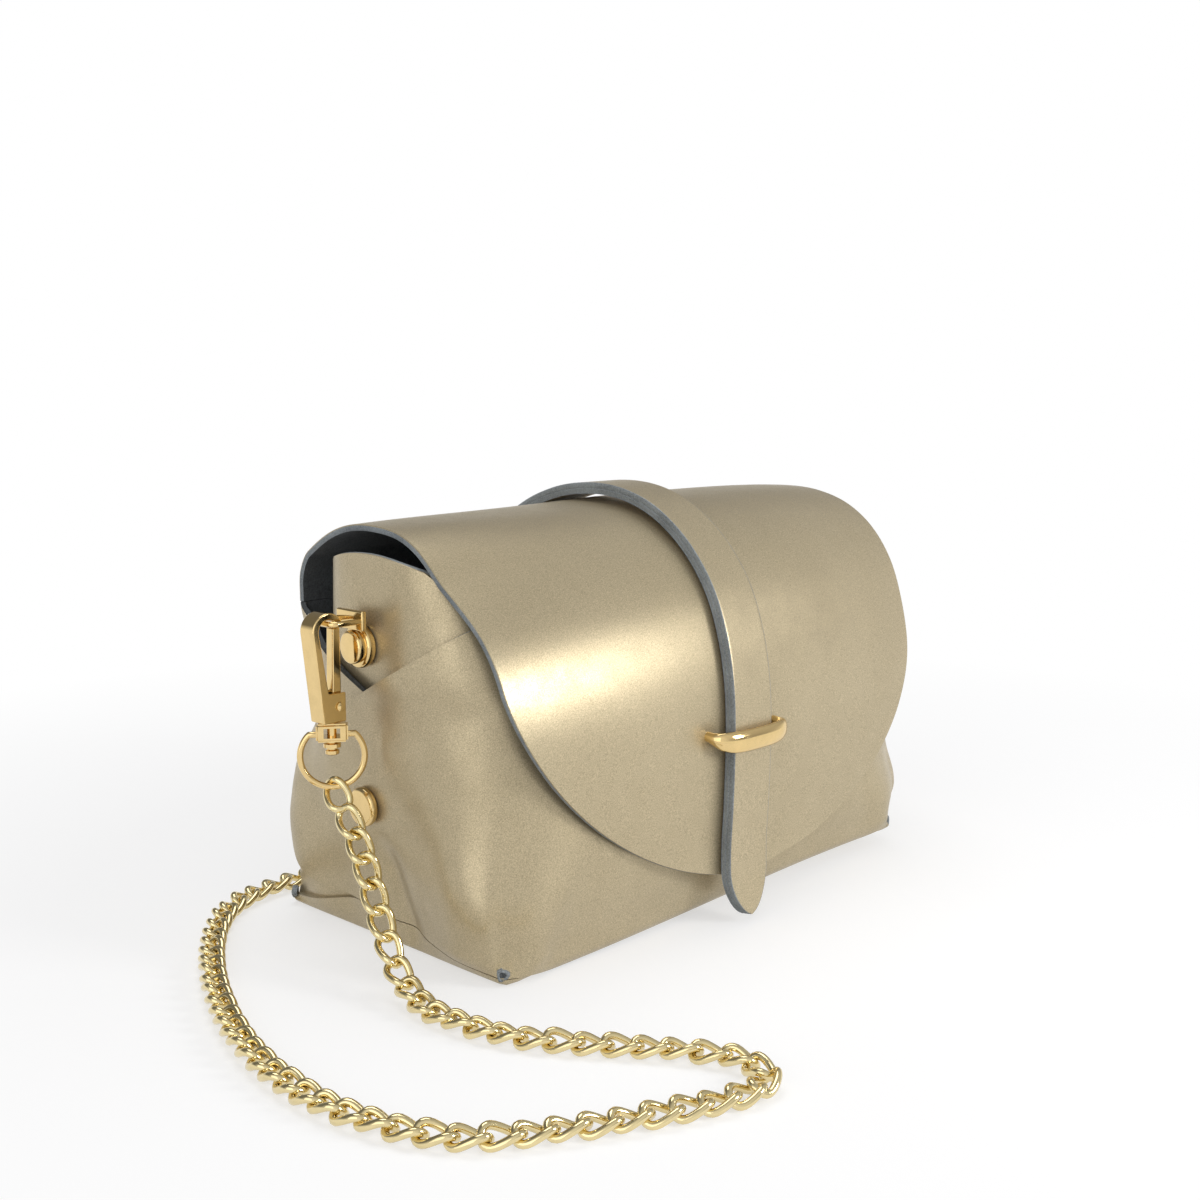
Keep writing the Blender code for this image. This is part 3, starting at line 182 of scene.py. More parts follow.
CHAIN_ROUTE_SHARES = (
    (-1.003, -0.269, 0.630), (-1.016, -0.459, 0.298), (-1.041, -0.694, 0.072),
    (-1.069, -1.061, 0.000), (-1.019, -1.561, 0.000), (-0.822, -2.204, 0.000),
    (-0.762, -2.469, 0.000), (-0.799, -2.700, 0.000), (-0.920, -2.694, 0.000),
    (-1.199, -2.418, 0.000), (-1.413, -2.082, 0.000), (-1.508, -1.469, 0.000),
    (-1.473, -0.714, 0.000), (-1.310, 0.184, 0.000), (-1.069, 0.949, 0.000),
    (-0.874, 1.184, 0.000), (-0.465, 1.204, 0.000), (0.000, 1.194, 0.000),
    (0.465, 1.204, 0.000), (0.669, 1.306, 0.000), (0.720, 1.510, 0.000),
    (0.660, 1.714, 0.000), (0.511, 1.796, 0.000), (0.093, 1.806, 0.000),
    (-0.232, 1.837, 0.000), (-0.381, 2.000, 0.000), (-0.390, 2.224, 0.000),
    (-0.260, 2.398, 0.000), (0.186, 2.408, 0.000), (0.697, 2.224, 0.000),
    (1.004, 1.673, 0.000), (1.078, 1.061, 0.004), (1.046, 0.551, 0.182),
    (1.016, 0.327, 0.488),
)

# Sizes that only the look has
COLLAR_TALL = 0.0050
COLLAR_DEEP = 0.0056
COLLAR_WIDE = COLLAR_RADIUS * 1.86
COLLAR_EDGE = 0.0006
WINDOW_WIDE = 0.0044
WINDOW_RIM = 0.00115
JOIN_GAP = 0.00010
LINK_WIDTH = 0.0075
LEFT_ROUND_TOP = RIDGE_HEIGHT * 0.655
RIGHT_ROUNDNESS = 2.0
RIGHT_ROUND_TOP = RIDGE_HEIGHT * 0.620
END_LINK_TURN_DEG = 22.0
LOOP_DROOP = 0.0016
ROUND_SIDES = 56
WIRE_SIDES = 14
TUCK = 0.0024
VALLEY_DEPTH = 0.0044
SIDE_RIDGE = 0.0022
FACE_RIDGE = 0.0024
CORNER_LIFT = 0.0048

# Camera, floor and light
CAMERA_PLACE = (-0.3433, -0.3314, 0.159)
CAMERA_TURN_DEG = (81.63, 0.0, -45.64)
CAMERA_LENS = 45.65
FLOOR_SIZE = 6.0
FLOOR_DROP = 0.0002
FLOOR_LIFT = 0.57
WHITE_FROM = 0.17
WHITE_ALL = 0.42
EVEN_LIGHT = 0.30
LEFT_BOX = ((-0.74, -0.62, 0.20), 0.22, 0.92, 1.15)
RIGHT_BOX = ((0.62, -0.40, 0.66), 0.55, 1.0, 0.65)
BACKDROP_AIM = (0.45, 0.89, 0.0)
LAMPS = (
    ("top_light", (0.08, 0.26, 1.15), (0.0, 0.0, 0.0), 0.70, 0.58),
    ("front_light", (0.315, -0.714, 0.314), (-0.09, -0.05, 0.095), 0.24, 0.47),
    ("side_light", (-0.95, -0.30, 0.26), (-0.09, -0.03, 0.03), 0.90, 0.35),
)


class BagLeather(bpy.types.PropertyGroup):
    """Colours and grain of the leather."""

    pale: FloatVectorProperty(
        name="Leather Colour",
        description="Colour of the leather's metallic face",
        subtype="COLOR",
        default=(0.520, 0.436, 0.285),
    )
    deep: FloatVectorProperty(
        name="Shade Colour",
        description="Darker colour that varies softly over the leather",
        subtype="COLOR",
        default=(0.470, 0.392, 0.252),
    )
    edge: FloatVectorProperty(
        name="Cut Edge Colour",
        description="Colour of the raw cut edges",
        subtype="COLOR",
        default=(0.265, 0.290, 0.305),
    )
    suede: FloatVectorProperty(
        name="Suede Colour",
        description="Colour of the leather's unfinished inner face",
        subtype="COLOR",
        default=(0.085, 0.093, 0.098),
    )
    grain: FloatProperty(
        name="Grain Size",
        description="Width of one grain of the leather's face",
        subtype="DISTANCE",
        default=0.0007,
    )
    grain_depth: FloatProperty(
        name="Grain Depth",
        description="Height of the grain",
        subtype="DISTANCE",
        default=0.00005,
        precision=6,
    )


class BagMetal(bpy.types.PropertyGroup):
    """Colour of the plated fittings."""

    gold: FloatVectorProperty(
        name="Plating Colour",
        description="Colour of the polished fittings",
        subtype="COLOR",
        default=(0.790, 0.585, 0.275),
    )
    pale_gold: FloatVectorProperty(
        name="Chain Colour",
        description="Colour of the chain's plating",
        subtype="COLOR",
        default=(0.800, 0.670, 0.370),
    )
    polish: FloatProperty(
        name="Polish",
        description="Roughness of the plating, 0 for a mirror",
        default=0.11,
        min=0.0,
        max=1.0,
    )


class BagChain(bpy.types.PropertyGroup):
    """Sizes of the chain's links."""

    link_length: FloatProperty(
        name="Link Length",
        description="Outer length of one link",
        subtype="DISTANCE",
        default=0.0110,
    )
    wire: FloatProperty(
        name="Wire Radius",
        description="Radius of the links' wire",
        subtype="DISTANCE",
        default=0.00100,
        precision=5,
    )
    pitch: FloatProperty(
        name="Pitch",
        description="Distance from one link to the next along the chain",
        subtype="DISTANCE",
        default=0.0070,
    )


class BagStage(bpy.types.PropertyGroup):
    """Light and floor round the bag."""

    fill: FloatProperty(
        name="Fill Light",
        description="Strength of the world's light",
        default=0.62,
    )
    key: FloatProperty(
        name="Key Light",
        description="Power that each lamp takes its share of",
        subtype="POWER",
        default=6.0,
    )
    floor: FloatVectorProperty(
        name="Floor Colour",
        description="Colour of the pale floor",
        subtype="COLOR",
        default=(0.46, 0.46, 0.465),
    )
    sensor: IntProperty(
        name="Sensor Width",
        description="Width of the camera's sensor in millimetres",
        default=36,
    )


def lerp(start, end, share):
    """Read a value between two others."""
    return start + (end - start) * share


def bell(distance, width):
    """Smooth hump of height one."""
    return math.exp(-((distance / width) ** 2))


def ease(share):
    """Smooth step from 0 to 1."""
    share = min(max(share, 0.0), 1.0)
    return share * share * (3 - 2 * share)


def hermite(start, end, slope_start, slope_end, share):
    """Cubic curve between two values with given slopes."""
    square = share * share
    cube = square * share
    return (
        start * (2 * cube - 3 * square + 1)
        + slope_start * (cube - 2 * square + share)
        + end * (3 * square - 2 * cube)
        + slope_end * (cube - square)
    )


def smooth_table(rows, place):
    """Read a smooth curve through the rows of a table at a place on its first column."""
    last = len(rows) - 1
    index = 0
    while index < last - 1 and place > rows[index + 1][0]:
        index += 1
    before = rows[max(index - 1, 0)]
    start = rows[index]
    end = rows[index + 1]
    after = rows[min(index + 2, last)]
    span = end[0] - start[0]
    share = min(max((place - start[0]) / span, 0.0), 1.0)
    values = []
    for column in range(1, len(start)):
        slope_start = span * (end[column] - before[column]) / (end[0] - before[0])
        slope_end = span * (after[column] - start[column]) / (after[0] - start[0])
        values.append(hermite(start[column], end[column], slope_start, slope_end, share))
    return values


def smooth_route(knots, steps):
    """Points of a smooth curve through the knots."""
    last = len(knots) - 1
    slopes = []
    for index in range(last + 1):
        before = knots[max(index - 1, 0)]
        here = knots[index]
        after = knots[min(index + 1, last)]
        slopes.append((after - before) / ((after - here).length + (here - before).length))
    points = []
    for index in range(last):
        start = knots[index]
        end = knots[index + 1]
        span = (end - start).length
        for step in range(steps):
            points.append(
                hermite(start, end, slopes[index] * span, slopes[index + 1] * span, step / steps)
            )
    points.append(knots[-1])
    return points


class Walk:
    """A line of points that can be read at any distance along it."""

    def __init__(self, points):
        self.points = points
        self.marks = [0.0]
        for before, after in zip(points, points[1:]):
            self.marks.append(self.marks[-1] + (after - before).length)
        self.length = self.marks[-1]

    def at(self, distance):
        """Point and direction at a distance along the line."""
        low = 0
        high = len(self.marks) - 1
        while high - low > 1:
            middle = (low + high) // 2
            if self.marks[middle] <= distance:
                low = middle
            else:
                high = middle
        span = self.marks[low + 1] - self.marks[low]
        share = (distance - self.marks[low]) / span
        point = self.points[low].lerp(self.points[low + 1], share)
        before = self.points[max(low - 2, 0)]
        after = self.points[min(low + 3, len(self.points) - 1)]
        return point, (after - before).normalized()


# The form of the leather


def body_level(height):
    """Half length, half depth in front and behind, and corner softness at a height."""
    side, front, back, soft_front, soft_back = smooth_table(
        BODY_FORM_SHARES, height / RIDGE_HEIGHT
    )
    half_length = BASE_LENGTH / 2 + SIDE_BULGE * side
    half_front = BASE_DEPTH / 2 + FRONT_BULGE * front
    half_back = BASE_DEPTH / 2 + BACK_BULGE * back
    return half_length, half_front, half_back, soft_front, soft_back


def level_inside(height, inset, behind):
    """Half length, half depth and corner softness of the form inside an inset."""
    half_length, half_front, half_back, soft_front, soft_back = body_level(height)
    if behind:
        return half_length - inset, half_back - max(inset - LAYER, 0.0), soft_back
    return half_length - inset, half_front - inset, soft_front


def body_point(turn, height, inset):
    """Point of the body's outer form, moved inward by the inset."""
    across = math.cos(turn)
    along = math.sin(turn)
    half_length, half_depth, softness = level_inside(height, inset, along > 0)
    power = 1 / softness
    reach = (abs(across) ** power + abs(along) ** power) ** -softness
    return Vector((half_length * reach * across, half_depth * reach * along, height))


def side_reach(depth, height, inset):
    """Distance of the side from the middle plane, at a depth and a height."""
    half_length, half_depth, softness = level_inside(height, inset, depth > 0)
    share = min(abs(depth) / half_depth, 1.0)
    return half_length * (1 - share ** (1 / softness)) ** softness


def end_round(distance, radius):
    """How far a rounded corner draws an edge back at a distance from its end."""
    if distance >= radius:
        return 0.0
    return radius - math.sqrt(max(radius**2 - (radius - distance) ** 2, 0.0))


def side_depth(turn):
    """Depth of a column of the body at half the height where the wings cross."""
    return body_point(turn, WING_CROSSING / 2, 0).y


FRONT_WING_END = side_depth(math.radians(180 - FRONT_WING_REACH))
BACK_WING_END = side_depth(math.radians(180 + BACK_WING_REACH))


def front_top(turn):
    """Top edge of the front panel and its wings."""
    depth = side_depth(turn)
    edge = min(FRONT_TOP, WING_CROSSING - FRONT_WING_FALL * depth)
    return edge - end_round(FRONT_WING_END - depth, FRONT_WING_ROUND)


def front_hem(turn):
    """Lower edge of the front panel and its wings."""
    depth = side_depth(turn)
    rise = WING_HEM_RISE * max(depth + BASE_DEPTH / 2, 0)
    return PANEL_FOOT + rise + end_round(FRONT_WING_END - depth, FRONT_WING_ROUND)


def back_top(turn):
    """Top edge of the back panel and its wings."""
    depth = side_depth(turn)
    edge = min(HINGE_HEIGHT - JOIN_GAP, WING_CROSSING + BACK_WING_FALL * depth)
    return edge - end_round(depth - BACK_WING_END, BACK_WING_ROUND)


def back_hem(turn):
    """Lower edge of the back panel and its wings."""
    depth = side_depth(turn)
    rise = BACK_HEM_RISE * max(BASE_DEPTH / 2 - depth, 0)
    edge = PANEL_FOOT + min(rise, BACK_HEM_LIMIT)
    return edge + end_round(depth - BACK_WING_END, BACK_WING_ROUND)


def tongue_half(height):
    """Half width of a side tongue at a height."""
    share = (height - TONGUE_FOOT_HEIGHT) / (TONGUE_NARROW_HEIGHT - TONGUE_FOOT_HEIGHT)
    share = min(max(share, 0.0), 1.0)
    return lerp(TONGUE_FOOT_HALF, TONGUE_HALF, share * share * (3 - 2 * share))


FLAP_LINE = Walk(
    smooth_route(
        [
            Vector((depth * BASE_DEPTH / 2 - stand * FLAP_STAND, height * RIDGE_HEIGHT))
            for depth, height, stand in FLAP_LINE_SHARES
        ],
        24,
    )
)
CREST = max(range(len(FLAP_LINE.points)), key=lambda index: FLAP_LINE.points[index].y)


def line_place(height, behind):
    """Distance along the flap's line at which it has a height, behind or in front."""
    points = FLAP_LINE.points
    marks = FLAP_LINE.marks
    indices = range(CREST) if behind else range(len(points) - 2, CREST, -1)
    for index in indices:
        first = points[index].y
        second = points[index + 1].y
        if min(first, second) <= height <= max(first, second):
            return lerp(marks[index], marks[index + 1], (height - first) / (second - first))
    return marks[0] if behind else marks[-1]


def line_frame(distance):
    """Point and outward normal of the flap's line at a distance along it."""
    point, along = FLAP_LINE.at(distance)
    return point, Vector((along.y, -along.x))


def flap_share(x):
    """Share of the flap's half width at which a place lies."""
    return min(abs(x) / FLAP_HALF, 1.0)


def flap_end(x):
    """Distance along the line at which the flap's round front edge lies."""
    fuller = ease((x + 0.010) / 0.050)
    roundness = lerp(FLAP_ROUNDNESS, RIGHT_ROUNDNESS, fuller)
    top = lerp(LEFT_ROUND_TOP, RIGHT_ROUND_TOP, fuller)
    bow = 1 - (1 - flap_share(x) ** roundness) ** (1 / roundness)
    return line_place(lerp(FLAP_LOW, top, bow), False)


def flap_fall(x):
    """How far the flap droops towards its sides."""
    return FLAP_FALL * flap_share(x) ** 2


STRAP_START = line_place(STRAP_START_HEIGHT, True)
STRAP_END = line_place(STRAP_LOW, False)
STRAP_CREST = FLAP_LINE.marks[CREST]


def flap_sag(x, distance):
    """How far the flap's soft leather sinks, most at its left shoulder."""
    past = distance - STRAP_CREST
    held = ease((past + 0.058) / 0.022)
    crest_drop = 0.0024 * bell(x + 0.032, 0.052) - 0.0013 * ease((x - 0.030) / 0.060)
    shoulder_drop = 0.0066 * max((1 - x / FLAP_HALF) / 2, 0.0) ** 2.2
    width = 0.021 if past < 0.041 else 0.028
    sag = crest_drop * bell(past - 0.008, 0.038) + shoulder_drop * bell(past - 0.041, width)
    return held * (sag + 0.0024 * bell(past + 0.033, 0.015))


def flap_widening(x, distance):
    """How far the flap's edge spreads at its left shoulder and draws in at its right."""
    past = distance - STRAP_CREST
    if x < 0:
        return -0.0028 * flap_share(x) ** 3 * bell(past - 0.036, 0.034)
    return -0.0014 * flap_share(x) ** 3 * bell(past - 0.075, 0.035)


def strap_middle(distance):
    """Sideways place of the strap's middle, which leans a little as it comes down."""
    share = (distance - STRAP_CREST) / (STRAP_END - STRAP_CREST)
    return STRAP_SKEW * min(max(share, 0.0), 1.0)


def strap_lift(distance):
    """Gap between the flap and the strap, widest where the strap arches over the top."""
    top = STRAP_CREST + 0.007
    share = min(abs(distance - top) / (0.030 if distance < top else 0.052), 1.0)
    return CLEARANCE + STRAP_ARCH * (math.cos(math.pi * share) + 1) / 2


def back_face(height):
    """Depth of the back panel's outer face at its middle."""
    return body_point(math.pi / 2, height, LAYER).y


def back_normal(height):
    """Outward direction of the back panel at its middle."""
    rise = back_face(height + LEATHER) - back_face(height - LEATHER)
    return Vector((0.0, 2 * LEATHER, -rise)).normalized()


def crease(point):
    """Move a point of the leather by the folds that start at the pinched base corners."""
    side = -1 if point.x < 0 else 1
    height = point.z
    from_front = point.y + BASE_DEPTH / 2
    from_back = BASE_DEPTH / 2 - point.y
    from_side = BASE_LENGTH / 2 - side * point.x
    low = ease(height / 0.007)
    fade = max(1 - height / 0.050, 0.0) ** 1.3 * low
    dent = 0.0
    for reach, depth in ((from_front - from_side, 1.0), (from_back - from_side, 0.7)):
        valley = VALLEY_DEPTH * bell(reach + 0.0004 + 0.12 * height, 0.0046 + 0.07 * height)
        side_ridge = SIDE_RIDGE * bell(reach - 0.0160, 0.0085)
        face_ridge = FACE_RIDGE * bell(reach + 0.0075 + 0.50 * height, 0.0058 + 0.05 * height)
        dent += depth * fade * (valley - side_ridge - face_ridge)
    crease_line = lerp(-0.0120, -0.0015, height / 0.045)
    on_side = ease((0.022 - max(from_side, 0.0)) / 0.012)
    stretch = low * ease((0.036 - height) / 0.012) * on_side
    dent += stretch * 0.0022 * bell(point.y - crease_line, 0.0050)
    dent -= stretch * 0.0006 * bell(point.y - crease_line + 0.014, 0.0080)
    wave = math.sin(point.x * 61 + point.z * 47) * math.sin(point.y * 83 - point.z * 71 + 1.1)
    dent += 0.00022 * wave * low
    share = min(max((from_front + 0.002) / 0.010, 0.0), 1.0)
    share = min(share, min(max((from_back + 0.002) / 0.010, 0.0), 1.0))
    moved = point.copy()
    corner = ease((abs(point.y) - 0.015) / 0.020) * ease((0.030 - from_side) / 0.030)
    swell = 0.0026 * bell(height - 0.021, 0.016) * low
    if point.y > 0:
        swell -= 0.0040 * bell(height - 0.062, 0.022)
    moved.x += side * corner * swell
    inner = max(1 - max(from_front, 0.0) / 0.032, 0.0)
    beside = max(1 - max(from_side, 0.0) / 0.032, 0.0) * ease((0.020 - point.y) / 0.050)
    bend = ease(max(inner, beside if side > 0 else 0.0)) * ease((point.x + 0.080) / 0.150)
    moved.z += CORNER_LIFT * bend * max(1 - height / 0.045, 0.0) ** 1.5
    front = ease((-point.y - 0.030) / 0.012)
    moved.y += 0.0013 * ease((height - 0.070) / 0.024) * front
    if side < 0:
        shoulder = ease((height - 0.055) / 0.035) * ease((-point.y - 0.012) / 0.022)
        shoulder *= ease((-point.x - 0.060) / 0.030)
        moved.x += 0.0020 * shoulder
        moved.y += 0.0010 * shoulder
    moved.x -= side * dent * ease(share)
    turn = 1.0 if point.y < 0 else -1.0
    moved.y += turn * dent * (1 - ease(share) * 0.6)
    if from_side < 0.004 and share >= 1.0:
        moved.y = point.y + (moved.y - point.y) * (1 if point.y < -0.020 else 0)
    return moved


# Places of the hooks and what hangs on them
STUD_FACE = side_reach(0.0, RING_STUD_HEIGHT, TONGUE_INSET)
EYE_HEIGHT = RING_STUD_HEIGHT + RING_STUD_STEP_RADIUS + FIT_GAP + EYE_BAND_HEIGHT / 2
NOSE_OUT = STUD_FACE + HOOK_REACH
NOSE_HEIGHT = EYE_HEIGHT + EYE_WIRE_RADIUS + FIT_GAP - (HOOK_NOSE_RADIUS - HOOK_BAND)
FOOT_TOP = NOSE_HEIGHT - HOOK_FOOT_DROP
FOOT_LOW = FOOT_TOP - HOOK_FOOT_HEIGHT
PIVOT_OUT = NOSE_OUT - GATE_PIVOT_INNER
PIVOT_HEIGHT = NOSE_HEIGHT - GATE_PIVOT_DROP
SWIVEL_OUT = NOSE_OUT - SWIVEL_INNER
COLLAR_TOP = FOOT_LOW - COLLAR_GAP
COLLAR_LOW = COLLAR_TOP - COLLAR_HEIGHT
RING_LOW = (COLLAR_LOW + COLLAR_TOP) / 2 - RING_DROP


# Shader node groups


def new_group(name, inputs, outputs):
    """Start a shader node group with named sockets."""
    group = bpy.data.node_groups.new(name, "ShaderNodeTree")
    for label, kind, value in inputs:
        socket = group.interface.new_socket(label, in_out="INPUT", socket_type=kind)
        socket.default_value = value
    for label, kind in outputs:
        group.interface.new_socket(label, in_out="OUTPUT", socket_type=kind)
    return group, group.nodes.new("NodeGroupInput"), group.nodes.new("NodeGroupOutput")


def noise(nodes, links, vector, scale, detail, roughness=0.5):
    """Add a noise texture over the object's own space."""
    node = nodes.new("ShaderNodeTexNoise")
    node.inputs["Detail"].default_value = detail
    node.inputs["Roughness"].default_value = roughness
    links.new(vector, node.inputs["Vector"])
    if isinstance(scale, (int, float)):
        node.inputs["Scale"].default_value = scale
    else:
        links.new(scale, node.inputs["Scale"])
    return node


def spread(nodes, links, value, low, high, to_low, to_high):
    """Map a value from one range to another, held at the ends."""
    node = nodes.new("ShaderNodeMapRange")
    node.inputs["From Min"].default_value = low
    node.inputs["From Max"].default_value = high
    node.inputs["To Min"].default_value = to_low
    node.inputs["To Max"].default_value = to_high
    links.new(value, node.inputs["Value"])
    return node.outputs["Result"]


def sum_of(nodes, links, operation, first, second):
    """Add a math node between two sockets or values."""
    node = nodes.new("ShaderNodeMath")
    node.operation = operation
    for slot, value in enumerate((first, second)):
        if isinstance(value, (int, float)):
            node.inputs[slot].default_value = value
        else:
            links.new(value, node.inputs[slot])
    return node.outputs["Value"]


def mixed_colour(nodes, links, share, first, second, blend_type="MIX"):
    """Add a colour mix between two sockets."""
    node = nodes.new("ShaderNodeMix")
    node.data_type = "RGBA"
    node.blend_type = blend_type
    for slot, value in (("Factor", share), ("A", first), ("B", second)):
        sockets = [item for item in node.inputs if item.name == slot and item.enabled]
        if isinstance(value, (int, float)):
            sockets[0].default_value = value
        elif isinstance(value, tuple):
            sockets[0].default_value = value
        else:
            links.new(value, sockets[0])
    return [item for item in node.outputs if item.enabled][0]


def pearl_grain_group():
    """Fine pearly grain of finished leather: colour with a painted glint of its flakes, roughness
    and height.
    """
    group, start, end = new_group(
        "pearl_grain",
        (
            ("Pale", "NodeSocketColor", (0.5, 0.4, 0.25, 1.0)),
            ("Deep", "NodeSocketColor", (0.4, 0.3, 0.2, 1.0)),
            ("Grain Size", "NodeSocketFloat", 0.0007),
        ),
        (
            ("Colour", "NodeSocketColor"),
            ("Roughness", "NodeSocketFloat"),
            ("Height", "NodeSocketFloat"),
        ),
    )
    nodes = group.nodes
    links = group.links
    place = nodes.new("ShaderNodeTexCoord").outputs["Object"]
    frequency = sum_of(nodes, links, "DIVIDE", 1.0, start.outputs["Grain Size"])
    cloud = noise(nodes, links, place, 24.0, 3.0).outputs["Fac"]
    mottle = noise(nodes, links, place, 160.0, 4.0, 0.6).outputs["Fac"]
    speck = noise(nodes, links, place, sum_of(nodes, links, "MULTIPLY", frequency, 2.4), 2.0)
    cells = nodes.new("ShaderNodeTexVoronoi")
    cells.feature = "SMOOTH_F1"
    links.new(place, cells.inputs["Vector"])
    links.new(frequency, cells.inputs["Scale"])
    tone = sum_of(
        nodes,
        links,
        "ADD",
        spread(nodes, links, cloud, 0.35, 0.65, 0.0, 0.65),
        spread(nodes, links, mottle, 0.35, 0.65, 0.0, 0.35),
    )
    base = mixed_colour(nodes, links, tone, start.outputs["Pale"], start.outputs["Deep"])
    # Painted glint: fine specks lighten and darken the colour for the sparkle of the pearly flakes,
    # and also give their own tone.
    painted_glint_and_tone = spread(nodes, links, speck.outputs["Fac"], 0.32, 0.70, 0.78, 1.26)
    made = nodes.new("ShaderNodeVectorMath")
    made.operation = "SCALE"
    links.new(base, made.inputs[0])
    links.new(painted_glint_and_tone, made.inputs["Scale"])
    links.new(made.outputs["Vector"], end.inputs["Colour"])
    matte = spread(nodes, links, mottle, 0.3, 0.7, 0.33, 0.41)
    links.new(
        sum_of(
            nodes,
            links,
            "ADD",
            matte,
            spread(nodes, links, speck.outputs["Fac"], 0.3, 0.7, 0.04, -0.04),
        ),
        end.inputs["Roughness"],
    )
    pores = sum_of(nodes, links, "MULTIPLY", cells.outputs["Distance"], 0.55)
    fine = sum_of(nodes, links, "MULTIPLY", speck.outputs["Fac"], 0.45)
    links.new(sum_of(nodes, links, "ADD", pores, fine), end.inputs["Height"])
    return group


def fibre_group():
    """Loose fibres of cut or sueded leather: colour and height."""
    group, start, end = new_group(
        "leather_fibre",
        (
            ("Colour", "NodeSocketColor", (0.2, 0.2, 0.2, 1.0)),
            ("Fibre Size", "NodeSocketFloat", 0.0006),
            ("Contrast", "NodeSocketFloat", 0.5),
        ),
        (("Colour", "NodeSocketColor"), ("Height", "NodeSocketFloat")),
    )
    nodes = group.nodes
    links = group.links
    place = nodes.new("ShaderNodeTexCoord").outputs["Object"]
    frequency = sum_of(nodes, links, "DIVIDE", 1.0, start.outputs["Fibre Size"])
    fibre = noise(nodes, links, place, frequency, 4.0, 0.65)
    fibre.inputs["Distortion"].default_value = 1.2
    patch = noise(nodes, links, place, 90.0, 2.0).outputs["Fac"]
    light = spread(nodes, links, fibre.outputs["Fac"], 0.3, 0.7, -1.0, 1.0)
    soft = spread(nodes, links, patch, 0.3, 0.7, -0.4, 0.4)
    change = sum_of(nodes, links, "ADD", light, soft)
    scaled = sum_of(nodes, links, "MULTIPLY", change, start.outputs["Contrast"])
    gain = sum_of(nodes, links, "ADD", scaled, 1.0)
    made = nodes.new("ShaderNodeVectorMath")
    made.operation = "SCALE"
    links.new(start.outputs["Colour"], made.inputs[0])
    links.new(gain, made.inputs["Scale"])
    links.new(made.outputs["Vector"], end.inputs["Colour"])
    links.new(fibre.outputs["Fac"], end.inputs["Height"])
    return group


def plating_group():
    """Polished plating with faint handling marks: colour, roughness and height."""
    group, start, end = new_group(
        "plating_marks",
        (
            ("Colour", "NodeSocketColor", (0.8, 0.6, 0.3, 1.0)),
            ("Polish", "NodeSocketFloat", 0.12),
        ),
        (
            ("Colour", "NodeSocketColor"),
            ("Roughness", "NodeSocketFloat"),
            ("Height", "NodeSocketFloat"),
        ),
    )
    nodes = group.nodes
    links = group.links
    place = nodes.new("ShaderNodeTexCoord").outputs["Object"]
    smear = noise(nodes, links, place, 260.0, 4.0, 0.6).outputs["Fac"]
    stretch = nodes.new("ShaderNodeMapping")
    stretch.inputs["Rotation"].default_value = (0.6, 0.3, 0.9)
    stretch.inputs["Scale"].default_value = (1.0, 14.0, 1.0)
    links.new(place, stretch.inputs["Vector"])
    hair = noise(nodes, links, stretch.outputs["Vector"], 420.0, 2.0).outputs["Fac"]
    marks = spread(nodes, links, hair, 0.60, 0.72, 0.0, 0.07)
    cloud = spread(nodes, links, smear, 0.35, 0.70, -0.03, 0.06)
    rough = sum_of(nodes, links, "ADD", start.outputs["Polish"], marks)
    links.new(sum_of(nodes, links, "ADD", rough, cloud), end.inputs["Roughness"])
    gain = spread(nodes, links, smear, 0.3, 0.7, 1.04, 0.94)
    made = nodes.new("ShaderNodeVectorMath")
    made.operation = "SCALE"
    links.new(start.outputs["Colour"], made.inputs[0])
    links.new(gain, made.inputs["Scale"])
    links.new(made.outputs["Vector"], end.inputs["Colour"])
    links.new(hair, end.inputs["Height"])
    return group


def node_group(name, maker):
    """Fetch a node group, building it the first time."""
    found = bpy.data.node_groups.get(name)
    return found or maker()


def start_material(name):
    """Start a material with an empty Principled shader."""
    made = bpy.data.materials.new(name)
    made.use_nodes = True
    tree = made.node_tree
    shader = next(item for item in tree.nodes if item.type == "BSDF_PRINCIPLED")
    return made, tree.nodes, tree.links, shader


def add_bump(nodes, links, shader, height, distance, strength):
    """Feed a height to the shader as a bump."""
    bump = nodes.new("ShaderNodeBump")
    bump.inputs["Distance"].default_value = distance
    bump.inputs["Strength"].default_value = strength
    links.new(height, bump.inputs["Height"])
    links.new(bump.outputs["Normal"], shader.inputs["Normal"])


def opaque(colour):
    """Add full alpha to a colour."""
    return (colour[0], colour[1], colour[2], 1.0)


def leather_face_material(context):
    """Pearly metallic face of the leather."""
    found = bpy.data.materials.get("pearl_leather")
    if found:
        return found
    look = context.scene.bag_leather
    made, nodes, links, shader = start_material("pearl_leather")
    grain = nodes.new("ShaderNodeGroup")
    grain.node_tree = node_group("pearl_grain", pearl_grain_group)
    grain.inputs["Pale"].default_value = opaque(look.pale)
    grain.inputs["Deep"].default_value = opaque(look.deep)
    grain.inputs["Grain Size"].default_value = look.grain
    links.new(grain.outputs["Colour"], shader.inputs["Base Color"])
    links.new(grain.outputs["Roughness"], shader.inputs["Roughness"])
    shader.inputs["Metallic"].default_value = 0.62
    shader.inputs["Specular IOR Level"].default_value = 0.30
    shader.inputs["Sheen Weight"].default_value = 0.05
    add_bump(nodes, links, shader, grain.outputs["Height"], look.grain_depth, 0.45)
    return made


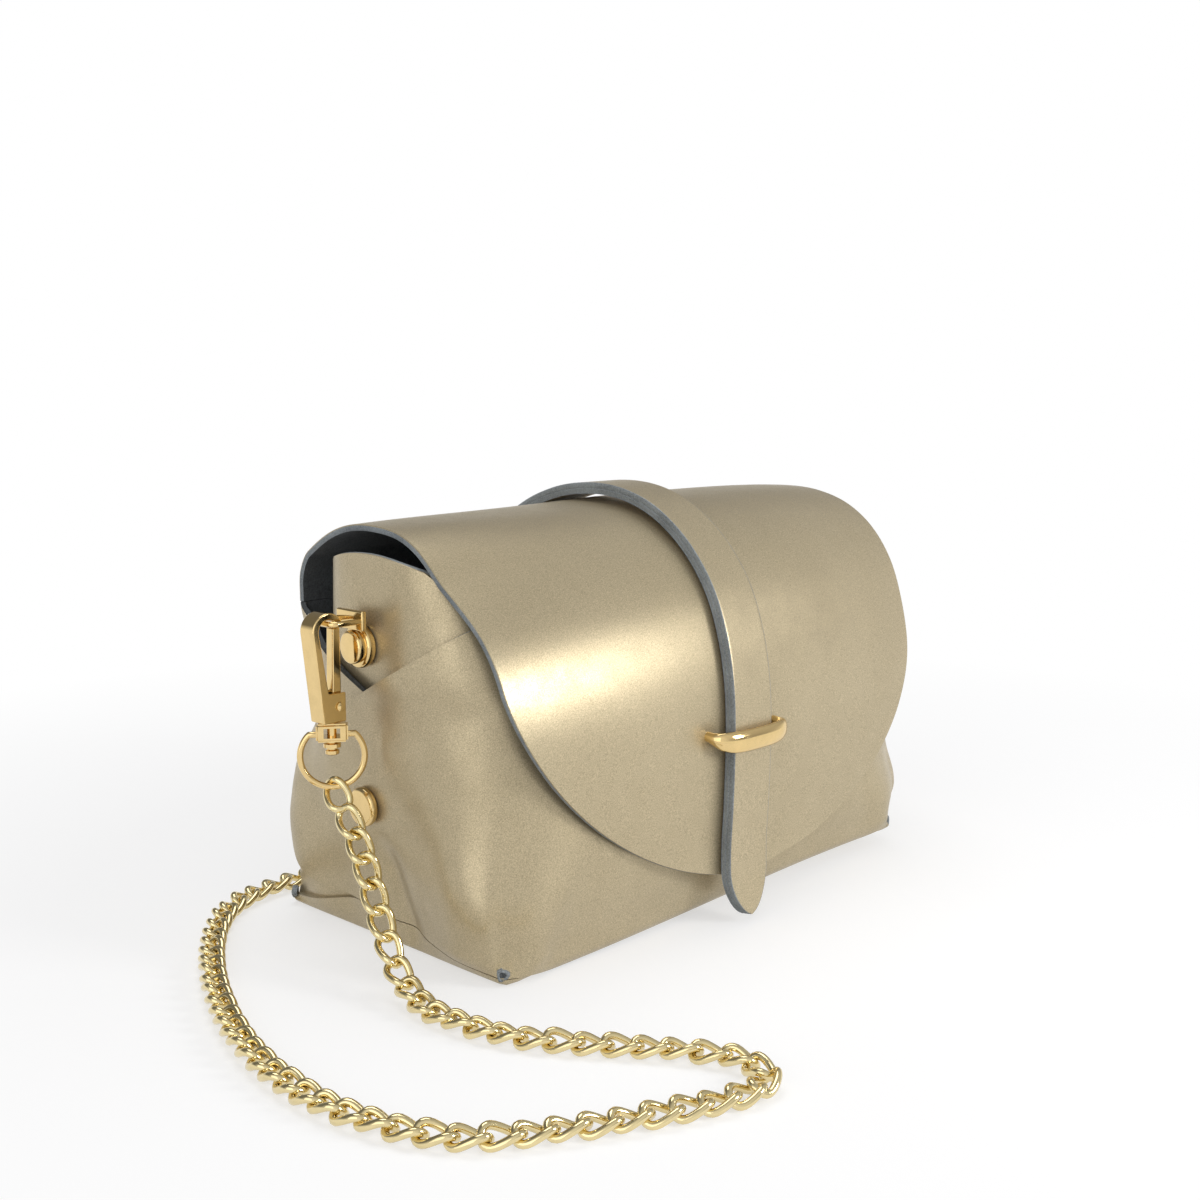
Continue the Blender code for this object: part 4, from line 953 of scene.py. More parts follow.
def fibre_material(context, name, colour, size, contrast, depth):
    """Cut edge or suede of the leather."""
    found = bpy.data.materials.get(name)
    if found:
        return found
    made, nodes, links, shader = start_material(name)
    fibre = nodes.new("ShaderNodeGroup")
    fibre.node_tree = node_group("leather_fibre", fibre_group)
    fibre.inputs["Colour"].default_value = opaque(colour)
    fibre.inputs["Fibre Size"].default_value = size
    fibre.inputs["Contrast"].default_value = contrast
    links.new(fibre.outputs["Colour"], shader.inputs["Base Color"])
    shader.inputs["Roughness"].default_value = 0.9
    shader.inputs["Specular IOR Level"].default_value = 0.2
    shader.inputs["Sheen Weight"].default_value = 0.15
    add_bump(nodes, links, shader, fibre.outputs["Height"], depth, 0.8)
    return made


def leather_materials(context):
    """Face, suede and cut edge, in the order that the sheets use."""
    look = context.scene.bag_leather
    return (
        leather_face_material(context),
        fibre_material(context, "suede_back", look.suede, 0.0007, 0.45, 0.0001),
        fibre_material(context, "raw_edge", look.edge, 0.0005, 0.40, 0.00015),
    )


def metal_material(context, name, colour):
    """Polished plating."""
    found = bpy.data.materials.get(name)
    if found:
        return found
    look = context.scene.bag_metal
    made, nodes, links, shader = start_material(name)
    marks = nodes.new("ShaderNodeGroup")
    marks.node_tree = node_group("plating_marks", plating_group)
    marks.inputs["Colour"].default_value = opaque(colour)
    marks.inputs["Polish"].default_value = look.polish
    links.new(marks.outputs["Colour"], shader.inputs["Base Color"])
    links.new(marks.outputs["Roughness"], shader.inputs["Roughness"])
    shader.inputs["Metallic"].default_value = 1.0
    add_bump(nodes, links, shader, marks.outputs["Height"], 0.00001, 0.05)
    return made


def gold(context):
    """Plating of the fittings."""
    return metal_material(context, "gold_plating", context.scene.bag_metal.gold)


def chain_gold(context):
    """Plating of the chain."""
    return metal_material(context, "chain_plating", context.scene.bag_metal.pale_gold)


# Mesh making


def add_piece(name, mesh_data, materials, body, nodes=(), smooth_angle=40.0):
    """Turn a bmesh into a piece that rides on a body and stands for some nodes."""
    bmesh.ops.recalc_face_normals(mesh_data, faces=mesh_data.faces)
    if mesh_data.calc_volume(signed=True) < 0:
        bmesh.ops.reverse_faces(mesh_data, faces=mesh_data.faces)
    mesh = bpy.data.meshes.new(name)
    mesh_data.to_mesh(mesh)
    mesh_data.free()
    mesh.shade_smooth()
    mesh.set_sharp_from_angle(angle=math.radians(smooth_angle))
    made = bpy.data.objects.new(name, mesh)
    for material in materials:
        made.data.materials.append(material)
    bpy.context.scene.collection.objects.link(made)
    if body:
        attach(made, body)
    if nodes:
        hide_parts(*nodes)
    return made


def soften_edges(piece, width, segments=2, angle=50.0):
    """Round a piece's hard edges."""
    modifier = piece.modifiers.new("rounded_edges", "BEVEL")
    modifier.width = width
    modifier.segments = segments
    modifier.limit_method = "ANGLE"
    modifier.angle_limit = math.radians(angle)
    modifier.harden_normals = False
    modifier.miter_outer = "MITER_ARC"


def rim_of(grid):
    """List the corners round the edge of a grid."""
    bottom = grid[0][:-1]
    right = [row[-1] for row in grid[:-1]]
    top = grid[-1][:0:-1]
    left = [row[0] for row in grid[:0:-1]]
    return bottom + right + top + left


def grid_faces(mesh_data, grid, material_index):
    """Join a grid of corners with four-sided faces."""
    for row, next_row in zip(grid, grid[1:]):
        for left in range(len(row) - 1):
            face = mesh_data.faces.new(
                (row[left], row[left + 1], next_row[left + 1], next_row[left])
            )
            face.material_index = material_index


def closed_sheet(mesh_data, outer, inner, joined=None):
    """Add a sheet of leather: face and back grids, closed by a slightly swollen edge.

    The edge named as joined, low or high, meets another sheet and shows no raw cut.
    """
    outside = [[mesh_data.verts.new(point) for point in row] for row in outer]
    inside = [[mesh_data.verts.new(point) for point in row] for row in inner]
    grid_faces(mesh_data, outside, 0)
    grid_faces(mesh_data, [row[::-1] for row in inside], 1)
    rim = rim_of(outside)
    back_rim = rim_of(inside)
    count = len(rim)
    strips = [rim]
    for share in (0.18, 0.5, 0.82):
        swell = 0.00022 * (1 - abs(2 * share - 1)) ** 0.7
        strip = []
        for index in range(count):
            before = rim[index - 1].co
            after = rim[(index + 1) % count].co
            along = (after - before).normalized()
            through = (back_rim[index].co - rim[index].co).normalized()
            outward = along.cross(through)
            point = rim[index].co.lerp(back_rim[index].co, share)
            strip.append(mesh_data.verts.new(point + outward * swell * RIM_SENSE))
        strips.append(strip)
    strips.append(back_rim)
    for number, (strip, next_strip) in enumerate(zip(strips, strips[1:])):
        for index in range(count):
            after = (index + 1) % count
            face = mesh_data.faces.new(
                (strip[after], strip[index], next_strip[index], next_strip[after])
            )
            across = len(outer[0]) - 1
            at_low = index < across
            at_high = across + len(outer) - 1 <= index < 2 * across + len(outer) - 1
            if (joined == "low" and at_low) or (joined == "high" and at_high):
                face.material_index = 1
            else:
                face.material_index = 0 if number == 0 else 2


RIM_SENSE = 1.0


def cap_rings(mesh_data, rings):
    """Join rings of corners into a closed body with flat ends."""
    count = len(rings[0])
    for ring, next_ring in zip(rings, rings[1:]):
        for index in range(count):
            after = (index + 1) % count
            mesh_data.faces.new((ring[index], ring[after], next_ring[after], next_ring[index]))
    mesh_data.faces.new(rings[0][::-1])
    mesh_data.faces.new(rings[-1])


def turned(mesh_data, profile, centre, axis, sides=ROUND_SIDES):
    """Add a turned body: radius and place along the axis for each ring."""
    turn = Vector(axis).normalized().to_track_quat("Z", "Y").to_matrix()
    rings = []
    for radius, place in profile:
        ring = []
        for index in range(sides):
            angle = math.tau * index / sides
            local = Vector((radius * math.cos(angle), radius * math.sin(angle), place))
            ring.append(mesh_data.verts.new(Vector(centre) + turn @ local))
        rings.append(ring)
    cap_rings(mesh_data, rings)


def round_edges(mesh_data, offset, profile):
    """Bevel all edges of a bmesh."""
    bmesh.ops.bevel(
        mesh_data,
        geom=mesh_data.edges[:],
        offset=offset,
        segments=3,
        profile=profile,
        affect="EDGES",
    )


def settle_face_order(mesh_data):
    """Sort faces by their corners, so that a mesh is the same in each run.

    Faces made after a bevel fill the places that it freed, in an order that differs by run.
    """
    mesh_data.verts.index_update()
    ordered = sorted(
        mesh_data.faces, key=lambda face: [vertex.index for vertex in face.verts]
    )
    for place, face in enumerate(ordered):
        face.index = place
    mesh_data.faces.sort()


def tube(mesh_data, points, radius, sides, closed, sizes=None):
    """Add a round wire along a path, closed into a ring or capped at its ends."""
    count = len(points)
    rings = []
    reference = None
    for index in range(count):
        if closed:
            along = points[(index + 1) % count] - points[index - 1]
        else:
            along = points[min(index + 1, count - 1)] - points[max(index - 1, 0)]
        along.normalize()
        if reference is None:
            reference = along.orthogonal().normalized()
        reference = (reference - along * reference.dot(along)).normalized()
        across = along.cross(reference)
        wide = radius * (sizes[index] if sizes else 1.0)
        ring = []
        for side in range(sides):
            angle = math.tau * (side + 0.5) / sides
            offset = reference * math.cos(angle) + across * math.sin(angle)
            ring.append(mesh_data.verts.new(points[index] + offset * wide))
        rings.append(ring)
    if not closed:
        cap_rings(mesh_data, rings)
        return
    shift = min(range(sides), key=lambda step: (rings[0][step].co - rings[-1][0].co).length)
    for ring, next_ring in zip(rings, rings[1:]):
        for side in range(sides):
            after = (side + 1) % sides
            mesh_data.faces.new((ring[side], ring[after], next_ring[after], next_ring[side]))
    for side in range(sides):
        after = (side + 1) % sides
        mesh_data.faces.new(
            (
                rings[-1][side],
                rings[-1][after],
                rings[0][(after + shift) % sides],
                rings[0][(side + shift) % sides],
            )
        )


def bent(steps):
    """Shares from -1 to 1, closer together towards the ends."""
    return [math.sin(math.pi / 2 * (2 * step / steps - 1)) for step in range(steps + 1)]


# The chain and the camera come first


def link_down(side):
    """Direction in which an end link hangs."""
    tilt = math.radians(LINK_TILT_DEG)
    return Vector((0.0, side * math.sin(tilt), -math.cos(tilt)))


def link_crown(side, wire):
    """Middle of an end link's upper wire, just above the D-ring's lowest wire."""
    hang = RING_WIRE_RADIUS + wire + FIT_GAP
    return Vector((side * SWIVEL_OUT, 0.0, RING_LOW)) - link_down(side) * hang


def ring_direction(side):
    """Level direction in which a D-ring's plane lies."""
    turn = math.radians(RING_TURN_DEG)
    return Vector((-side * math.cos(turn), -math.sin(turn), 0.0))


def chain_walk():
    """The chain's route, from the left end link to the right one."""
    wire = 0.0008
    rise = RING_LOW - CHAIN_REST
    knots = [
        Vector((across * SWIVEL_OUT, along * BASE_DEPTH / 2, CHAIN_REST + share * rise))
        for across, along, share in CHAIN_ROUTE_SHARES
    ]
    ends = []
    for side in (-1, 1):
        down = link_down(side)
        start = link_crown(side, wire) + down * (END_LINK_LENGTH - wire + FIT_GAP)
        ends.append([start, start + down * CHAIN_WIDTH * 0.75])
    return Walk(smooth_route(ends[0] + knots + ends[1][::-1], 16))


def link_points(middle, along, across, up, length, width, wire, twist):
    """Centre line of one link, with the half twist that lets the links lie flat."""
    points = []
    half_length = length / 2 - wire
    half_width = width / 2 - wire
    steps = 30
    for step in range(steps):
        angle = math.tau * step / steps
        ahead = half_length * math.copysign(abs(math.cos(angle)) ** 0.95, math.cos(angle))
        aside = half_width * math.copysign(abs(math.sin(angle)) ** 0.90, math.sin(angle))
        rise = twist * math.sin(2 * angle)
        points.append(middle + along * ahead + across * aside + up * rise)
    return points


def build_chain(context):
    """The chain: twisted links along the route, and an end link on each D-ring."""
    look = context.scene.bag_chain
    walk = chain_walk()
    wire = look.wire
    margin = look.link_length / 2 - 2 * wire - FIT_GAP
    count = round((walk.length - 2 * margin) / look.pitch) + 1
    pitch = (walk.length - 2 * margin) / (count - 1)
    lay_low = wire * 2 + 0.0001
    mesh_data = bmesh.new()
    left_normal = ring_direction(-1)
    right_normal = ring_direction(1)
    for index in range(count):
        distance = margin + index * pitch
        point, along = walk.at(min(max(distance, 0.0), walk.length))
        drop = min(max((0.022 - point.z) / 0.018, 0.0), 1.0)
        point = point.copy()
        point.z -= (CHAIN_REST - lay_low) * drop
        up = Vector((0.0, 0.0, 1.0))
        flat = (up - along * up.dot(along)).normalized()
        across = flat.cross(along).normalized()
        for near, normal in ((index, left_normal), (count - 1 - index, right_normal)):
            if near < 12:
                start = (normal - along * normal.dot(along)).normalized()
                if start.dot(across) < 0:
                    start = -start
                laid = ease((0.018 - walk.at(min(max(distance, 0.0), walk.length))[0].z) / 0.013)
                across = start.lerp(across, laid).normalized()
        sway = 0.10 * math.sin(index * 2.4) + 0.09 * math.sin(index * 0.9 + 1.0)
        turn = Matrix.Rotation(sway, 3, along)
        across = turn @ across
        flat = along.cross(across).normalized()
        if flat.z < 0:
            flat = -flat
            across = -across
        points = link_points(
            point, along, across, flat, look.link_length, LINK_WIDTH, wire, -wire * 1.22
        )
        lowest = min(item.z for item in points)
        lift = max(wire + 0.00005 - lowest, 0.0)
        points = [item + up * lift for item in points]
        tube(mesh_data, points, wire, 10, True)
    made = add_piece("chain_links", mesh_data, (chain_gold(context),), BAG, ("chain",))
    for word, side in SIDES:
        down = link_down(side)
        level = ring_direction(side)
        flat = (level - down * level.dot(down)).normalized()
        normal = flat.cross(down).normalized()
        across = Matrix.Rotation(math.radians(-side * END_LINK_TURN_DEG), 3, down) @ flat
        normal = down.cross(across).normalized()
        end_wire = 0.0008
        middle = link_crown(side, end_wire) + down * (END_LINK_LENGTH / 2 - end_wire)
        points = link_points(
            middle, down, across, normal, END_LINK_LENGTH, LINK_WIDTH, end_wire, -wire
        )
        ring = bmesh.new()
        tube(ring, points, wire * 0.95, WIRE_SIDES, True)
        node = f"chain_link_{word}"
        piece = add_piece(f"end_link_{word}", ring, (chain_gold(context),), BAG, (node,))
    start = walk.points[0]
    [tuple(walk.at(walk.length * step / 300)[0]) for step in range(301)]


def build_stage(context):
    """Camera, floor, lights and background."""
    look = context.scene.bag_stage
    scene = context.scene
    camera_data = bpy.data.cameras.new("camera")
    camera_data.sensor_width = look.sensor
    camera_data.lens = CAMERA_LENS
    camera = bpy.data.objects.new("camera", camera_data)
    camera.location = CAMERA_PLACE
    camera.rotation_euler = [math.radians(angle) for angle in CAMERA_TURN_DEG]
    camera_data.clip_start = 0.01
    scene.collection.objects.link(camera)
    scene.camera = camera
    mesh_data = bmesh.new()
    bmesh.ops.create_grid(mesh_data, x_segments=1, y_segments=1, size=FLOOR_SIZE)
    mesh = bpy.data.meshes.new("floor")
    mesh_data.to_mesh(mesh)
    mesh_data.free()
    floor = bpy.data.objects.new("floor", mesh)
    floor.location.z = -FLOOR_DROP
    scene.collection.objects.link(floor)
    floor.data.materials.append(floor_material(look))
    build_lights(context, look)
    scene.view_settings.view_transform = "Standard"


def background_rays(nodes, links, share=None):
    """Rays that see the white background: the camera's, and a share of those by metal or glass."""
    rays = nodes.new("ShaderNodeLightPath").outputs
    mirrored = sum_of(nodes, links, "MAXIMUM", rays["Is Glossy Ray"], rays["Is Transmission Ray"])
    if share is not None:
        mirrored = sum_of(nodes, links, "MULTIPLY", mirrored, share)
    return sum_of(nodes, links, "MAXIMUM", rays["Is Camera Ray"], mirrored)


def soft_box(nodes, links, place, aim, start, end, strength):
    """Light of the world from one side, fading out round its aim."""
    return spread(nodes, links, facing(nodes, links, place, aim), start, end, 0.0, strength)


def floor_material(look):
    """Pale paper floor that keeps the bag's shadow."""
    made, nodes, links, shader = start_material("pale_floor")
    shader.inputs["Base Color"].default_value = opaque(look.floor)
    shader.inputs["Roughness"].default_value = 0.9
    shader.inputs["Specular IOR Level"].default_value = 0.1
    place = nodes.new("ShaderNodeTexCoord").outputs["Object"]
    reach = nodes.new("ShaderNodeVectorMath")
    reach.operation = "LENGTH"
    links.new(place, reach.inputs[0])
    far = spread(nodes, links, reach.outputs["Value"], WHITE_FROM, WHITE_ALL, 0.0, 1.0)
    seen = background_rays(nodes, links)
    shown = sum_of(nodes, links, "MULTIPLY", seen, far)
    lift = nodes.new("ShaderNodeEmission")
    lift.inputs["Color"].default_value = (1.0, 1.0, 1.0, 1.0)
    links.new(sum_of(nodes, links, "MULTIPLY", seen, FLOOR_LIFT), lift.inputs["Strength"])
    near = nodes.new("ShaderNodeAddShader")
    links.new(shader.outputs["BSDF"], near.inputs[0])
    links.new(lift.outputs["Emission"], near.inputs[1])
    white = nodes.new("ShaderNodeEmission")
    white.inputs["Color"].default_value = (1.0, 1.0, 1.0, 1.0)
    white.inputs["Strength"].default_value = 1.0
    both = nodes.new("ShaderNodeMixShader")
    links.new(shown, both.inputs["Fac"])
    links.new(near.outputs["Shader"], both.inputs[1])
    links.new(white.outputs["Emission"], both.inputs[2])
    output = next(item for item in nodes if item.type == "OUTPUT_MATERIAL")
    links.new(both.outputs["Shader"], output.inputs["Surface"])
    return made


def facing(nodes, links, direction, aim):
    """How far a direction faces an aim, from -1 to 1."""
    node = nodes.new("ShaderNodeVectorMath")
    node.operation = "DOT_PRODUCT"
    links.new(direction, node.inputs[0])
    node.inputs[1].default_value = Vector(aim).normalized()
    return node.outputs["Value"]


def build_lights(context, look):
    """The world's even light, two soft boxes and white backdrop, and three lamps."""
    scene = context.scene
    world = bpy.data.worlds.new("studio")
    world.use_nodes = True
    nodes = world.node_tree.nodes
    links = world.node_tree.links
    background = next(item for item in nodes if item.type == "BACKGROUND")
    place = nodes.new("ShaderNodeTexCoord").outputs["Generated"]
    left_box = soft_box(nodes, links, place, *LEFT_BOX)
    right_box = soft_box(nodes, links, place, *RIGHT_BOX)
    both = sum_of(nodes, links, "ADD", left_box, right_box)
    even = sum_of(nodes, links, "ADD", both, EVEN_LIGHT)
    dim = sum_of(nodes, links, "MULTIPLY", even, look.fill)
    behind = facing(nodes, links, place, BACKDROP_AIM)
    split = nodes.new("ShaderNodeSeparateXYZ")
    links.new(place, split.inputs["Vector"])
    low = spread(nodes, links, split.outputs["Z"], 0.05, 0.30, 1.0, 0.0)
    backdrop = sum_of(
        nodes, links, "MULTIPLY", spread(nodes, links, behind, -0.25, 0.25, 0.0, 1.0), low
    )
    seen = background_rays(nodes, links, backdrop)
    lit = nodes.new("ShaderNodeMix")
    lit.data_type = "FLOAT"
    links.new(seen, lit.inputs["Factor"])
    links.new(dim, lit.inputs["A"])
    lit.inputs["B"].default_value = 1.0
    links.new(lit.outputs["Result"], background.inputs["Strength"])
    background.inputs["Color"].default_value = (1.0, 1.0, 1.0, 1.0)
    scene.world = world
    for name, place, aim, size, share in LAMPS:
        data = bpy.data.lights.new(name, "AREA")
        data.shape = "SQUARE"
        data.size = size
        data.energy = look.key * share
        lamp = bpy.data.objects.new(name, data)
        lamp.location = place
        lamp.rotation_euler = (Vector(place) - Vector(aim)).to_track_quat("Z", "Y").to_euler()
        scene.collection.objects.link(lamp)


# Leather pieces


def tucked(turn):
    """Share by which a column's hem is tucked under the body, none on the sides."""
    from_side = abs(math.degrees(side_turn(turn)) - 180)
    return ease((from_side - 46) / 6)


def wrapped_panel(context, name, node, middle_deg, wing_deg, layer, top_of, hem_of):
    """A panel with its wings: a sheet wrapped round the body between two edges."""
    reach = 90 + wing_deg
    turns = []
    stops = (middle_deg - reach, middle_deg - 45, middle_deg + 45, middle_deg + reach)
    for start, end in zip(stops, stops[1:]):
        count = round((end - start) / 0.9)
        turns += [math.radians(lerp(start, end, step / count)) for step in range(count)]
    turns.append(math.radians(stops[-1]))
    rows = 64
    outer = []
    inner = []
    for row in range(rows + 1):
        outer.append([])
        inner.append([])
        for turn in turns:
            hem = lerp(hem_of(turn), 0.0004, tucked(turn))
            height = lerp(hem, top_of(turn), (row / rows) ** 1.25)
            roll = 0.0017 * max(1 - height / 0.0030, 0.0) ** 2 * tucked(turn)
            for grid, inset in ((outer, layer + roll), (inner, layer + LEATHER + roll)):
                point = body_point(turn, height, inset)
                if layer:
                    point += towards_flap(turn, height, inset)
                grid[-1].append(crease(point))
    mesh_data = bmesh.new()
    closed_sheet(mesh_data, outer, inner, "high" if layer else None)
    add_piece(name, mesh_data, leather_materials(context), BAG, (node,))


def towards_flap(turn, height, inset):
    """How far the back panel straightens towards the flap's straight fold at its top."""
    share = ease((height - 0.066) / (HINGE_HEIGHT - 0.066))
    if share <= 0.0:
        return Vector((0.0, 0.0, 0.0))
    fold = FLAP_LINE.at(line_place(HINGE_HEIGHT + FIT_GAP, True))[0].x
    limit = math.radians(38.5)
    middle = math.pi / 2
    held = min(max(turn, middle - (middle - limit)), middle + (middle - limit))
    top = body_point(held, HINGE_HEIGHT, inset)
    edge = body_point(limit, HINGE_HEIGHT, inset)
    width = FLAP_HALF - (0.0 if inset <= LAYER else 0.0004)
    wide = top.x / edge.x * width
    target = Vector((wide, fold - flap_fall(wide) - (inset - LAYER), 0.0))
    past = abs(turn - held)
    move = (target - Vector((top.x, top.y, 0.0))) * share
    move.x *= 1 - ease(past / math.radians(9))
    move.y *= 1 - ease(past / math.radians(30))
    return move


def build_panels(context):
    """Front and back panels with their wings, and the base."""
    wrapped_panel(
        context, "front_leather", "front_panel", 270, FRONT_WING_REACH, 0, front_top, front_hem
    )
    wrapped_panel(
        context, "back_leather", "back_panel", 90, BACK_WING_REACH, LAYER, back_top, back_hem
    )
    build_base(context)


def side_turn(turn):
    """Turn of the matching column on the left side, from 90 to 270 degrees."""
    degrees = math.degrees(turn) % 360
    if degrees < 90:
        return math.radians(180 - degrees)
    if degrees > 270:
        return math.radians(540 - degrees)
    return math.radians(degrees)


def fold_line(turn):
    """Height to which the base's fold shows at a column, and the layer that it meets."""
    turn = side_turn(turn)
    degrees = math.degrees(turn)
    front = front_hem(turn) if degrees > 180 - FRONT_WING_REACH else 1.0
    back = back_hem(turn) if degrees < 180 + BACK_WING_REACH else 1.0
    inset = 0.0 if front <= back else LAYER
    if abs(degrees - 180) > 45:
        return PANEL_FOOT, inset
    return min(front, back), inset


def build_base(context):
    """The base, whose edge rolls up all round and meets the panels' hems."""
    turns = [math.radians(1.5 * step) for step in range(240)]
    lines = [fold_line(turn) for turn in turns]
    count = len(turns)
    heights = []
    insets = []
    for index in range(count):
        near = [lines[(index + step) % count] for step in range(-2, 3)]
        heights.append(sum(item[0] for item in near) / 5)
        insets.append(sum(item[1] for item in near) / 5)
    rings = []
    stages = (
        (0.0, 0.0, 0.0340), (0.0, 0.0, 0.0240), (0.0, 0.0, 0.0150), (0.0, 0.0, 0.0090),
        (0.0, 0.0, 0.0052), (0.0, 0.00005, 0.0030), (0.0, 0.00035, 0.0016),
        (0.0, 0.0009, 0.0007), (0.0, 0.0016, 0.0002), (0.6, 0.0006, 0.0),
        (1.0, -0.0003, 0.0), (1.0, 0.0005, 0.0021), (1.0, 0.0022, 0.0023),
        (1.0, 0.0022, 0.0040), (0.0, 0.0024, 0.0050), (0.0, 0.0018, 0.0060),
    )
    mesh_data = bmesh.new()
    for share, rise, inset in stages:
        ring = []
        for turn, top, meet in zip(turns, heights, insets):
            height = share * top + rise
            bare = 0.0 if share == 0.0 and rise < 0.0003 else meet * (0.4 if rise < 0.001 else 1)
            inward = inset + (bare if share else 0.0) + TUCK * tucked(turn)
            point = body_point(turn, max(height, 0.0), inward)
            ring.append(mesh_data.verts.new(crease(Vector((point.x, point.y, height)))))
        rings.append(ring)
    cap_rings(mesh_data, rings)
    for face in mesh_data.faces:
        if min(vert.co.z for vert in face.verts) > 0.0014 and len(face.verts) > 4:
            face.material_index = 1
    add_piece(
        "base_leather", mesh_data, leather_materials(context), BAG, ("base_panel",)
    )
    build_corner_cuts(context)


def build_corner_cuts(context):
    """The small raw cut at each pinched corner of the base, whose middle of dark suede stands for
    the inner leather and is painted shade of the small hole there.
    """
    mesh_data = bmesh.new()
    for turn_deg in (45, 135, 225, 315):
        turn = math.radians(turn_deg)
        outward = Vector((math.copysign(1, math.cos(turn)), math.copysign(1, math.sin(turn)), 0))
        outward.normalize()
        centre = crease(body_point(turn, 0.0034, 0.0))
        frame_turn = outward.to_track_quat("Z", "Y").to_matrix()
        rings = []
        for radius, rise in ((0.0017, -0.0012), (0.0017, 0.0002), (0.0013, 0.0005),
                             (0.0009, 0.0003), (0.0003, 0.0003)):
            ring = []
            for step in range(18):
                angle = math.tau * step / 18
                rough = 1 + 0.16 * math.cos(angle * 3 - 0.5) + 0.06 * math.sin(angle * 8)
                local = Vector((radius * math.cos(angle), radius * math.sin(angle), 0.0)) * rough
                local.z = rise
                ring.append(mesh_data.verts.new(centre + frame_turn @ local))
            rings.append(ring)
        before = len(mesh_data.faces)
        cap_rings(mesh_data, rings)
        mesh_data.faces.ensure_lookup_table()
        # The innermost ring and the caps take the dark suede: the inner leather, and painted shade
        # of the small hole in the cut's middle.
        for face in mesh_data.faces[before + 54:]:
            face.material_index = 1
    edges = leather_materials(context)[:0:-1]
    add_piece("corner_cuts", mesh_data, edges, BAG, ())


def build_tongues(context):
    """The side tongues inside the wings."""
    rows = 60
    for word, side in SIDES:
        outer = []
        inner = []
        for row in range(rows + 1):
            outer.append([])
            inner.append([])
            for across in bent(44):
                place = TONGUE_SHIFT + across * TONGUE_HALF - (0.009 if across < 0 else 0) * -across
                drop = 7.8 * (place + 0.001) ** 2
                drop += 0.026 * ease((place - 0.0178) / 0.010)
                drop += 0.5 * max(-place - 0.0228, 0.0)
                top = TONGUE_TOP + 0.0016 - drop
                height = lerp(PANEL_FOOT, top, row / rows)
                extra = 0.009 * ease((height - 0.060) / 0.030) if across < 0 else 0.0
                depth = TONGUE_SHIFT + across * (tongue_half(height) + extra)
                for grid, inset in ((outer, TONGUE_INSET), (inner, TONGUE_INSET + LEATHER)):
                    reach = side_reach(depth, height, inset)
                    grid[-1].append(crease(Vector((side * reach, depth, height))))
        mesh_data = bmesh.new()
        closed_sheet(mesh_data, outer, inner)
        add_piece(
            f"tongue_leather_{word}",
            mesh_data,
            leather_materials(context),
            BAG,
            (f"side_tongue_{word}",),
        )


def build_flap(context):
    """The flap, from its fold behind the bag to its round front edge."""
    start = line_place(HINGE_HEIGHT + JOIN_GAP, True)
    loop_place = line_place(LOOP_HEIGHT, False)
    middle = strap_middle(loop_place)
    legs = [middle + side * (LOOP_HALF - LOOP_LEG_RADIUS) for _, side in SIDES]
    rows = 110
    outer = []
    inner = []
    columns = [across * FLAP_HALF for across in bent(84)]
    ends = [flap_end(x) for x in columns]
    for row in range(rows + 1):
        outer.append([])
        inner.append([])
        for x, end in zip(columns, ends):
            distance = lerp(start, end, row / rows)
            point, normal = line_frame(distance)
            dimple = 0.0
            for leg in legs:
                away = math.hypot(x - leg, distance - loop_place)
                dimple += 0.0005 * bell(away, 0.0065)
            for grid, rise in ((outer, -dimple), (inner, -LEATHER)):
                place = point + normal * (rise - flap_fall(x) - flap_sag(x, distance))
                wide = x + flap_widening(x, distance)
                grid[-1].append(Vector((wide, place.x, place.y)))
    mesh_data = bmesh.new()
    closed_sheet(mesh_data, outer, inner, "low")
    made = add_piece("flap_leather", mesh_data, leather_materials(context), None)
    bend_at_hinge(made)
    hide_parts("flap")


def strap_line():
    """Points, outward directions and sideways places of the strap's under face."""
    stations = []
    steps = 14
    for step in range(steps + 1):
        height = lerp(TAIL_LOW, HINGE_HEIGHT - 0.008, step / steps)
        face = Vector((0.0, back_face(height), height))
        normal = back_normal(height)
        stations.append((face + normal * CLEARANCE, normal, 0.0))
    steps = 90
    for step in range(steps + 1):
        distance = lerp(STRAP_START, STRAP_END, step / steps)
        point, normal = line_frame(distance)
        middle = strap_middle(distance)
        sunk = flap_fall(middle) + flap_sag(middle, distance)
        place = point + normal * (strap_lift(distance) - sunk)
        stations.append(
            (Vector((middle, place.x, place.y)), Vector((0.0, normal.x, normal.y)), distance)
        )
    return stations


def strap_half(walk, total):
    """Half width of the strap at a distance along it, rounded at both ends."""
    half = STRAP_WIDTH / 2
    from_tip = total - walk
    if from_tip < STRAP_TIP_LENGTH:
        bow = from_tip / STRAP_TIP_LENGTH
        return half * (1 - (1 - bow) ** STRAP_TIP_ROUNDNESS) ** (1 / STRAP_TIP_ROUNDNESS)
    if walk < TAIL_ROUND:
        return half - end_round(walk, TAIL_ROUND) * 0.9
    return half


def bend_at_hinge(piece):
    """Bake the piece's placement into its mesh.
    """
    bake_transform(piece)


